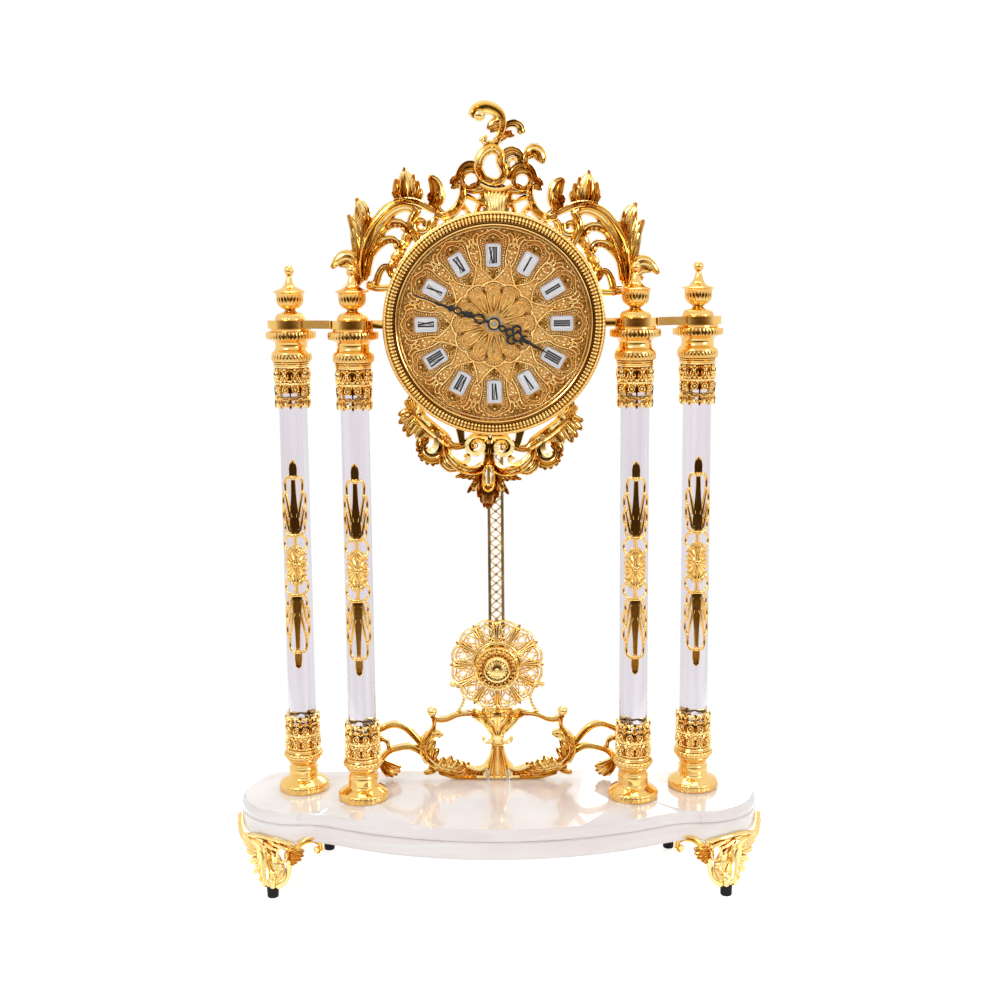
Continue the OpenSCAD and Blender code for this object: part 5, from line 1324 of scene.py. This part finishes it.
# Rays of the star in the middle of a rod mount: half its width and half its height at three points
STAR = ((1.6, 1.6), (5, 5.6), (9.6, 12))


class CLOCK_OT_appliques(bpy.types.Operator):
    """Pierced mounts on the fronts of the rods"""

    bl_idname = "clock.appliques"
    bl_label = "Rod mounts"

    def execute(self, context):
        made = finishes()
        # Half of a mount's height and its relief, in mm
        h = 81
        high = 1.25
        c = Casting()
        c.stroke([(0, h - 14), (0, h - 7), (0, h - 3), (0, h - 0.6)], (5.2, 5.6, 4.4, 1.6), high, HOLLOW)
        c.stroke([(0, h - 14), (0, h - 30), (0, h - 44), (0, h - 57)], (3.0, 4.0, 6.4, 8.4), 1.1, HOLLOW)
        c.ball(0, h - 14, 1.7, 0.9)
        half = c.mark()
        c.stroke([(0.6, h - 13), (4.6, h - 13.8), (6.8, h - 18), (6.4, h - 24.6)], (2.2, 2.2, 2.4, 1.8), high)
        c.stroke([(6, h - 24), (9, h - 28), (9.2, h - 34), (7.6, h - 37)], (2.0, 2.4, 2.0), high)
        c.stroke([(6.4, h - 25), (4.6, h - 33), (2.6, h - 44)], (1.6, 2.2, 2.6), 1.0, HOLLOW)
        c.stroke([(7, h - 37), (9.4, h - 40), (9, h - 46), (7.4, h - 48.4)], (2.0, 2.4, 2.0), high)
        c.stroke([(7.2, h - 37), (5.6, h - 44), (3.6, h - 54)], (1.6, 2.2, 2.6), 1.0, HOLLOW)
        c.stroke([(7.2, h - 48), (7.8, h - 53), (5.6, h - 57), (0, h - 58)], (1.8, 1.8, 2.6), high)
        c.stroke([(0, h - 58.4), (5.8, h - 58.8), (9.2, h - 62.6), (8.6, h - 68), (4.6, h - 70),
                  (1.2, h - 67)], (2.0, 2.0, 2.2, 1.8), high)
        for u, down in ((6.4, 25), (7.4, 36.8), (7.2, 48.4)):
            c.ball(u, h - down, 1.5, 0.8)
        c.leaf([(2.6, h - 66.4), (4.8, h - 70.6), (8.4, h - 73.4)], 3.2, high)
        c.leaf([(1, h - 68), (2.4, h - 72), (5, h - 76)], 3.2, high)
        c.mirror(half)
        c.stroke([(0, h - 58), (0, h - 64), (0, h - 72)], (3.4, 2.8, 3.6), high, RIDGE)
        c.stroke([(-3.4, h - 66), (0, h - 67.8), (3.4, h - 66)], 2.0, high)
        c.again((0, 0), lambda u, z: (u, -z))
        c.stroke([(0, -9), (0, 0), (0, 9)], (13, 17, 13), 0.8)
        for k in range(16):
            a = math.radians(22.5 * k)
            ray = [(wide * math.sin(a), tall * math.cos(a)) for wide, tall in STAR]
            c.leaf(ray, 3.4, 1.4, section=RIDGE)
        c.ball(0, 0, 2.0, 0.9, 0.5)
        x, y = COLUMNS[0]
        middle = (ROD_LOW + SLEEVE_LOW + ROD_TOP - SLEEVE_TOP) / 2
        first = c.make("rod_mount_" + COLUMN_NAMES[0], on_drum(10.62, x, y, middle), 50)
        for piece, name in at_columns(first, "rod_mount_"):
            finish(piece, "clock", made["bright"], "gilt_brass", "applique_" + name)
        return {"FINISHED"}


# Radius on which the filigree of a sleeve is drawn
SLEEVE_RADIUS = 10.8


def sleeve_band(c, tall):
    """Filigree round a sleeve, drawn upwards from its seat."""
    repeats = 10
    pitch = 2 * math.pi * SLEEVE_RADIUS / repeats
    edge = pitch / 2
    for k in range(repeats):
        mark = c.mark()
        for s in (-1, 1):
            c.stroke([(s * 0.2, 3.2), (s * 2.2, 3.8), (s * 3.0, 6.2), (s * 2.2, 8.6), (s * 1.0, 8.0),
                      (s * 1.3, 6.4)], (1.0, 1.4, 1.2, 0.9), 3.0, steps=3)
            c.stroke([(s * 3.2, 8.6), (s * 1.6, 10.2), (s * 0.5, 12)], 1.2, 2.8, steps=3)
            c.stroke([(s * 3.3, 15), (s * 1.8, 16.2), (s * 1.6, 18.2), (s * 3.3, 19.4)], 1.1, 2.6, steps=3)
            c.stroke([(s * 3.3, tall - 4.6), (s * 2.6, tall - 2.2), (s * 1.4, tall - 2.4), (0, tall - 4.2)],
                     1.2, 2.4, steps=3)
            c.stroke([(0, tall - 8.6), (s * 1.8, tall - 6.8), (s * 3.3, tall - 7.4)], 1.2, 2.4, steps=3)
        c.leaf([(0, 3.6), (0, 6), (0, 8.6)], 1.5, 3.0)
        c.leaf([(0, tall - 7.6), (0, tall - 4), (0, tall - 0.3)], 2.0, 2.8)
        c.leaf([(0, 14.4), (0, 17), (0, tall - 8.8)], 1.4, 2.8)
        for u, z, radius, d in (
            (edge, 2.6, 0.9, 1.8), (edge, 10.8, 1.1, 1.6), (0, 11, 0.9, 1.8), (edge, 17.2, 1.1, 1.4),
            (edge, tall - 2.6, 1.2, 1.2), (-pitch / 3, 13.2, 0.9, 1.8), (0, 13.2, 0.9, 1.8),
            (pitch / 3, 13.2, 0.9, 1.8),
        ):
            c.ball(u, z, radius, d, 0.8, 8, 4)
        c.move(lambda u, z, d: (u + k * pitch, z, d), mark)


class CLOCK_OT_sleeves(bpy.types.Operator):
    """Filigree sleeves at both ends of the rods"""

    bl_idname = "clock.sleeves"
    bl_label = "Sleeves"

    def execute(self, context):
        made = finishes()
        x, y = COLUMNS[0]
        round_way = 2 * math.pi * SLEEVE_RADIUS
        for name, tall, z, way in (
            ("lower_sleeves", SLEEVE_LOW, ROD_LOW, 1), ("upper_sleeves", SLEEVE_TOP, ROD_TOP, -1),
        ):
            ring = turned(name + "_rings", [(r, z + way * h) for r, h in (
                (10.75, 0), (13.4, 0), (13.7, 0.5), (13.4, 1.1), (12.6, 1.5), (12.0, 2.0), (12.0, 11.8),
                (12.8, 12.2), (13.1, 12.8), (12.8, 13.4), (12.0, 14.0), (11.6, 15), (11.6, tall - 12.4),
                (11.2, tall - 12), (10.75, tall - 12), (10.75, 0),
            )], (x, y, 0), steps=80)
            c = Casting()
            sleeve_band(c, tall)
            for h in (tall - 8, tall - 7.2):
                c.stroke([(round_way * k / 24, h) for k in range(25)], 0.8, 1.7, steps=2)
            wrap = on_drum(SLEEVE_RADIUS, x, y)
            net = c.make(name + "_net", lambda u, v, d: wrap(u, z + way * v, d), 50)
            first = join(name + "_0", [ring, net])
            piece = join(name + "_filigree", [twin for twin, _ in at_columns(first, name + "_")])
            finish(piece, "clock", made["cast"], "gilt_brass", name)
        return {"FINISHED"}


def foot_drawing(c):
    """Right front foot unrolled: u runs towards the middle of the clock, z is the height over the table."""
    c.stroke([(-18, 40.4), (-8, 43), (2, 43.6), (14, 42.6), (24, 40.2)], (3, 3, 2.8, 2.8, 3.6), 2.8)
    c.stroke([(-10, 37), (-6, 27), (0, 17), (5, 9.6)], (14, 20, 18, 12), 1.4)
    c.stroke([(8, 41), (9, 32), (12, 22), (12, 12)], (12, 8, 13, 11), 1.4)
    c.stroke([(-6, 34), (-3, 25.6), (2, 17), (7.4, 10.4)], (7, 10.4, 10, 6), 2.6)
    c.stroke([(-12, 37.6), (-6, 36.6), (-2.6, 33)], (5, 6.4, 5), 3.0)
    c.stroke([(4, 32.4), (4.6, 26), (8.4, 19.8), (13.6, 15.4)], (4.4, 3.4, 3.6, 3.4), 3.4, SCROLL)
    c.stroke([(22.4, 28), (21.4, 20), (19.4, 13.4), (14.6, 9)], (4.4, 5, 5, 4.6), 3.2)
    c.stroke([(16, 24), (14, 19), (9.6, 15)], (4.6, 5, 4), 2.8)
    c.stroke([(20, 40), (26, 36.6), (30, 39.4), (35.6, 42.6), (42, 42.8), (46.6, 40), (47.6, 35.4),
              (44.6, 33)], (4.6, 5, 4.6, 4.4, 4.6, 4.4, 3.4), 3.6, SCROLL)
    c.ball(44, 35.4, 2.6, 2.2, 0.8)
    for k, (u, z) in enumerate(((34.4, 35), (34, 31.4), (32, 28), (28.6, 25.6), (24.4, 24.6))):
        c.leaf([(22.6, 36 - k * 1.6), (27.4 - k * 0.6, 35 - k * 2.3), (u, z)], 4.0, 4.0)
    c.leaf([(21.6, 37), (20.6, 31.6), (21, 26)], 4.4, 3.4)
    for root, mid, tip, wide in (
        ((-6, 34), (-15, 36), (-25, 38), 6.4), ((-7, 31), (-16, 32), (-26, 33), 6),
        ((-8, 28), (-14, 27.4), (-20, 27), 5.8), ((-5, 25), (-10, 22.6), (-14.4, 20.6), 6.4),
        ((-3, 20), (-6.6, 16.8), (-10, 14), 5.8), ((1, 15), (-1.6, 12), (-3.6, 9.8), 5.2),
        ((6, 13), (5, 10.6), (4, 8.8), 5), ((12, 14), (11.6, 11), (11, 9), 5),
    ):
        c.stroke([root, mid, tip], (wide * 0.6, wide, wide * 0.9), 3.2)
        c.ball(tip[0], tip[1], wide * 0.36, 1.6, 0.7)
        c.leaf([root, mid, tip], 1.8, 4.0, section=ROUND)
    for root, mid, tip in (
        ((10, 40), (14.6, 39), (21, 37.4)), ((2, 40), (7, 37.4), (12, 36)),
        ((8, 34), (11, 31), (12.4, 27)), ((-2, 38.6), (2, 36), (6, 31)),
    ):
        c.stroke([root, mid, tip], (2.4, 4.2, 2.4), 3.8)
        c.ball(tip[0], tip[1], 1.4, 2.6)
    c.ring(16.8, 32, 4.2, 2.0, 3.4, tall=1.4)
    c.stroke([(-25, 38.4), (-31, 42), (-38, 46), (-44, 47.6), (-48, 45.4), (-48.4, 41), (-44.6, 38.6),
              (-38, 37), (-29, 34.4)], (4.4, 4, 3.6, 3.6, 3.6, 3.4, 3.2), 3.4)
    c.ball(-46, 39.4, 2.6, 2.2, 0.8)
    for u, z in ((0, 40), (-10, 33.4), (17, 22), (3.4, 37.4), (12.6, 19.6)):
        c.ball(u, z, 1.3, 2.8, 0.8, 10, 5)


# Radius that a front foot's drawing is unrolled at, and radius of its back
FOOT_UNROLLED, FOOT_BACK = 50.4, 46.6
# Toe of a front foot: how far it flares, from what height over what height, and its place and half its width
FLARE, FLARE_TOP, FLARE_TALL, FLARE_AT, FLARE_HALF = 6.4, 27, 14, 9.7, 15


def on_lobe(side):
    """Wrap a foot round a front lobe and let its toe flare near the table; side is 1 right and -1 left."""
    x, y = LOBE

    def place(u, v, d):
        turn = math.radians(60) + u / FOOT_UNROLLED
        low = max(0.0, min(1.0, (FLARE_TOP - v) / FLARE_TALL)) ** 1.5
        r = FOOT_BACK + d * 0.95 + FLARE * low * max(0.0, 1 - ((u - FLARE_AT) / FLARE_HALF) ** 2)
        return side * (x + r * math.cos(turn)), y - r * math.sin(turn), v
    return place


def foot_lug(name, side):
    """Part of a ring under the slab that carries a foot."""
    x, y = LOBE
    lug = Casting()
    plan = []
    for r, span in ((47.6, range(-24, 25, 6)), (31, range(24, -25, -6))):
        for a in span:
            turn = math.radians(60 + a)
            plan.append((side * (x + r * math.cos(turn)), y - r * math.sin(turn)))
    for height in (38.0, 41.0):
        lug.verts.extend((u, v, height) for u, v in plan)
    n = len(plan)
    lug.faces = [tuple(range(n)), tuple(range(n, 2 * n))]
    lug.faces.extend((k, (k + 1) % n, n + (k + 1) % n, n + k) for k in range(n))
    return lug.make("foot_lug_" + name, lambda u, v, d: (u, v, d), 30)


class CLOCK_OT_feet(bpy.types.Operator):
    """Cast acanthus feet that wrap the front lobes"""

    bl_idname = "clock.feet"
    bl_label = "Front feet"

    def execute(self, context):
        made = finishes()
        for side, name in ((1, "right"), (-1, "left")):
            c = Casting()
            foot_drawing(c)
            c.move(lambda u, z, d: (u, z, min(d, 4.0) if z > 19 else d))
            shell = c.make("foot_shell_" + name, on_lobe(side))
            lug = foot_lug(name, side)
            toe = turned("foot_toe_" + name, [
                (0, 9), (4.6, 9), (5.0, 9.4), (4.8, 10.6), (4.0, 12), (3.2, 13.4), (2.0, 14.4), (0, 15),
            ], (side * 169.1, -30.9, 0), steps=40)
            piece = join("foot_casting_" + name, [shell, lug, toe])
            finish(piece, "clock", made["cast"], "gilt_brass", "foot_front_" + name)
        return {"FINISHED"}


class CLOCK_OT_pendulum(bpy.types.Operator):
    """Lattice rod, pierced bob and its raised medallion"""

    bl_idname = "clock.pendulum"
    bl_label = "Pendulum"

    def execute(self, context):
        made = finishes()
        low, top = 173.7, 394.0
        c = Casting()
        for s in (-1, 1):
            c.stroke([(s * 5.0, low), (s * 5.0, 280), (s * 5.0, top)], 2.2, 1.5, FLAT)
        pitch = 6.9
        z = low + 2
        while z < top - 12:
            for s in (-1, 1):
                c.stroke([(s * 4.2, z), (-s * 4.2, z + pitch)], 1.15, 1.2, steps=1)
            c.ball(0, z + pitch / 2, 1.25, 0.7, 0.6, 8, 4)
            z += pitch
        c.stroke([(0, low), (0, low + 8)], 11, 1.4, FLAT)
        c.stroke([(0, 384.6), (0, 387)], 11, 1.4, FLAT)
        for s in (-1, 1):
            c.stroke([(s * 3.6, 386), (s * 3.6, 393)], 4.6, 1.4, FLAT)
        c.stroke([(0, 391.6), (0, 393.6)], 8, 1.4, FLAT)
        rod = c.make("lattice_rod", on_plane(SWING_Y + 0.75), 40)
        finish(rod, "pendulum", made["rod"], "gilt_brass", "pendulum_rod")

        c = Casting()
        for k in range(12):
            mark = c.mark()
            for s in (-1, 0, 1):
                c.stroke([(s * 1.0, 15), (s * 1.3, 24), (s * 2.4, 31.4), (s * 4.0, 34.6)],
                         (1.5, 1.7, 2.0, 1.6), (2.2, 2.7, 2.6, 2))
            c.stroke([(0, 15), (0, 26), (0, 33)], (3.4, 4.0, 6.0), 1.2, FLAT)
            c.leaf([(0, 29), (0, 33), (0, 35.8)], 2.4, 2.6)
            c.turn(30 * k, mark)
            mark = c.mark()
            c.stroke([(-8.4, 29.4), (-6.4, 32.8), (0, 35.0), (6.4, 32.8), (8.4, 29.4)], 2.2, 2.4)
            c.stroke([(-7.4, 25.6), (-5.6, 29.6), (0, 32.2), (5.6, 29.6), (7.4, 25.6)], 1.2, 2.0)
            for s in (-1, 1):
                c.stroke([(s * 2.2, 15), (-s * 3.4, 24), (-s * 1.6, 30), (0, 33)], 1.3, 1.9)
                c.stroke([(s * 4.4, 17), (s * 0.6, 22), (-s * 6, 30)], 1.3, 1.9)
            for u, z in ((0, 21.4), (-2.6, 27.4), (2.6, 27.4), (0, 29.4)):
                c.ball(u, z, 1.0, 1.6, 0.7, 8, 4)
            c.turn(15 + 30 * k, mark)
        c.ring(0, 0, 17.2, 3.4, 2.4)
        bob = c.make("pierced_bob", on_plane(SWING_Y - 0.75, 0, BOB_Z), 45)
        finish(bob, "pendulum", made["cast"], "gilt_brass", "pendulum_bob")

        at = (0, 0, BOB_Z - 2.5)
        back = SWING_Y - 3.25
        face = turned("medallion_disc", [(r, back - h) for r, h in (
            (0, 0), (17.2, 0), (17.2, 2.6), (16.8, 3.4), (16.2, 3.7), (15.6, 3.2), (15.0, 2.4), (13.6, 1.9),
            (11.6, 1.9), (10.8, 2.6), (10.4, 4.0), (9.9, 4.8), (9.2, 5.0), (8.4, 4.7), (6, 5.0), (3, 5.3),
            (0, 5.4),
        )], at, False, 144)
        flute(face, at, 15.4, 17.0, 60, 0.5, False, along=True)
        m = Casting()
        for k in range(12):
            mark = m.mark()
            m.stroke([(-2.6, 11.2), (-3.2, 13.4), (-1.2, 14.8), (0, 13.4), (1.2, 14.8), (3.2, 13.4),
                      (2.6, 11.2)], 1.0, 1.6, ROUND, 1.8)
            m.leaf([(0, 10.4), (0, 12), (0, 14)], 1.8, 1.8, 1.8)
            m.ball(0, 12, 0.7, 3.0)
            m.ball(3.6, 12.2, 0.9, 2.2)
            m.turn(30 * k, mark)
        for k in range(20):
            mark = m.mark()
            m.leaf([(0, 2.4), (0, 5), (0, 8)], 1.5, 0.6, 4.8)
            m.ball(0.9, 8.6, 0.5, 4.6, 0.8, 6, 4)
            m.turn(18 * k, mark)
        m.ball(0, 0, 1.8, 4.6, 0.8)
        petals = m.make("medallion_relief", on_plane(back, 0, at[2]), 50)
        medal = join("medallion_face", [face, petals])
        finish(medal, "pendulum", made["cast"], "gilt_brass", "bob_medallion")
        return {"FINISHED"}


# Camera, in degrees, mm and shares of the picture
CAMERA_TURN = (-0.844, 8.113, -0.637)
CAMERA_PLACE = (-0.065, -985.98, 462.774)
CAMERA_SHIFT = (0.024682, -0.037695)
# Lamps: place in metres, size in metres and power in watts; all of them look at the middle of the clock
LAMPS = (
    ("key", (-0.9, -1.1, 1.3), 0.6, 7.0),
    ("fill", (1.1, -0.9, 0.7), 0.6, 4.0),
    ("top", (0.0, 0.2, 1.7), 1.0, 6.0),
    ("back", (0.5, 1.3, 0.9), 0.8, 5.0),
)
LAMP_AIM = (0, 0, 0.3)
# Light that the surroundings give to matt surfaces
SOFT_LIGHT = 0.62


def pale_floor():
    """Matt floor that fades to white away from the clock."""
    material = bpy.data.materials.new("pale_floor")
    material.use_nodes = True
    material.node_tree.nodes.clear()
    nodes = Nodes(material.node_tree)
    chalk = nodes.add("BsdfDiffuse", (0.8, 0.8, 0.8, 1))
    both = nodes.add("AddShader", chalk, nodes.add("Emission", Strength=SOFT_LIGHT))
    reach = nodes.add("VectorMath", nodes.add("TexCoord").outputs["Object"], operation="LENGTH")
    edge = nodes.add("MapRange", reach.outputs["Value"], 0.26, 0.42)
    fade = nodes.add("MixShader", edge, both, nodes.add("Emission"))
    shown = nodes.shown(nodes.add("LightPath"))
    nodes.add("OutputMaterial", nodes.add("MixShader", shown, chalk, fade))
    return material


def soft_room():
    """White room with a dark brown band low in front, which shows in reflections and not through glass."""
    world = bpy.data.worlds.new("soft_room")
    world.use_nodes = True
    world.node_tree.nodes.clear()
    nodes = Nodes(world.node_tree)
    path = nodes.add("LightPath")
    way = nodes.add("SeparateXYZ", nodes.add("TexCoord").outputs["Generated"])
    depth = nodes.add("MapRange", way.outputs["Y"], -1.0, 1.0, 0.0, 0.5)
    level = nodes.add("Math", way.outputs["Z"], 0.14, operation="ADD")
    away = nodes.add("Math", level, operation="ABSOLUTE")
    band = nodes.add("Math", away, 0.85, depth, operation="MULTIPLY_ADD")
    walls = nodes.ramp(band, (0.07, (0.045, 0.026, 0.01)), (0.15, (0.32, 0.2, 0.09)), (0.27, WHITE))
    mirrored = nodes.add("Math", path.outputs["Is Glossy Ray"], path.outputs["Is Transmission Ray"],
                         operation="SUBTRACT", use_clamp=True)
    seen = nodes.add("Background", nodes.add("MixRGB", mirrored, (*WHITE, 1), walls), 1.0)
    room = nodes.add("Background", (*WHITE, 1), SOFT_LIGHT)
    nodes.add("OutputWorld", nodes.add("MixShader", nodes.shown(path), room, seen))
    return world


class CLOCK_OT_stage(bpy.types.Operator):
    """Pale floor and backdrop, soft lamps and the camera"""

    bl_idname = "clock.stage"
    bl_label = "Stage"

    def execute(self, context):
        scene = context.scene
        clear()
        bpy.ops.mesh.primitive_plane_add(size=1, location=(0, 0.1, 0))
        floor = context.object
        floor.name = "floor"
        floor.scale = (1.5, 1.1, 1)
        bpy.ops.object.transform_apply(location=True, rotation=True, scale=True)
        floor.data.materials.append(pale_floor())
        scene.world = soft_room()

        for name, spot, size, power in LAMPS:
            clear()
            bpy.ops.object.light_add(type="AREA", location=spot)
            lamp = context.object
            lamp.name = "lamp_" + name
            lamp.data.shape = "RECTANGLE"
            lamp.data.size = size
            lamp.data.size_y = size * 0.7
            lamp.data.energy = power
            lamp.rotation_euler = (Vector(LAMP_AIM) - Vector(spot)).to_track_quat("-Z", "Y").to_euler()

        yaw, pitch, roll = (math.radians(a) for a in CAMERA_TURN)
        ahead = Vector((math.sin(yaw) * math.cos(pitch), math.cos(yaw) * math.cos(pitch), -math.sin(pitch)))
        right = Vector((math.cos(yaw), -math.sin(yaw), 0))
        up = right.cross(ahead)
        side = right * math.cos(roll) + up * math.sin(roll)
        crown = up * math.cos(roll) - right * math.sin(roll)
        clear()
        bpy.ops.object.camera_add(location=Vector(CAMERA_PLACE) * MM)
        camera = context.object
        camera.name = "camera"
        camera.rotation_euler = Matrix((side, crown, -ahead)).transposed().to_euler()
        camera.data.sensor_fit = "HORIZONTAL"
        camera.data.sensor_width = 36.0
        camera.data.lens = scene.clock_sizes.lens
        camera.data.shift_x, camera.data.shift_y = CAMERA_SHIFT
        camera.data.clip_start = 0.01
        camera.data.clip_end = 50
        scene.camera = camera
        scene.view_settings.view_transform = "Standard"
        return {"FINISHED"}


PIECE_OPERATORS = (
    CLOCK_OT_slab, CLOCK_OT_plain_parts, CLOCK_OT_bars, CLOCK_OT_rods, CLOCK_OT_bases, CLOCK_OT_capitals,
    CLOCK_OT_finials, CLOCK_OT_bezel, CLOCK_OT_dial, CLOCK_OT_numerals, CLOCK_OT_hands, CLOCK_OT_crest,
    CLOCK_OT_drop, CLOCK_OT_gallery, CLOCK_OT_appliques, CLOCK_OT_sleeves, CLOCK_OT_feet,
    CLOCK_OT_pendulum, CLOCK_OT_stage,
)


class CLOCK_PT_panel(bpy.types.Panel):
    bl_idname = "CLOCK_PT_panel"
    bl_label = "Portico Clock"
    bl_space_type = "VIEW_3D"
    bl_region_type = "UI"
    bl_category = "Clock"

    def draw(self, context):
        layout = self.layout
        for group in (context.scene.clock_finishes, context.scene.clock_sizes):
            box = layout.box()
            for key in group.__annotations__:
                box.prop(group, key)
        for operator in PIECE_OPERATORS:
            layout.operator(operator.bl_idname)


CLASSES = (ClockFinishes, ClockSizes, *PIECE_OPERATORS, CLOCK_PT_panel)


def register():
    for cls in CLASSES:
        bpy.utils.register_class(cls)
    bpy.types.Scene.clock_finishes = bpy.props.PointerProperty(type=ClockFinishes)
    bpy.types.Scene.clock_sizes = bpy.props.PointerProperty(type=ClockSizes)


def unregister():
    del bpy.types.Scene.clock_sizes
    del bpy.types.Scene.clock_finishes
    for cls in reversed(CLASSES):
        bpy.utils.unregister_class(cls)


def main():
    register()
    for operator in PIECE_OPERATORS:
        group, name = operator.bl_idname.split(".")
        getattr(getattr(bpy.ops, group), name)()


if __name__ == "__main__":
    main()
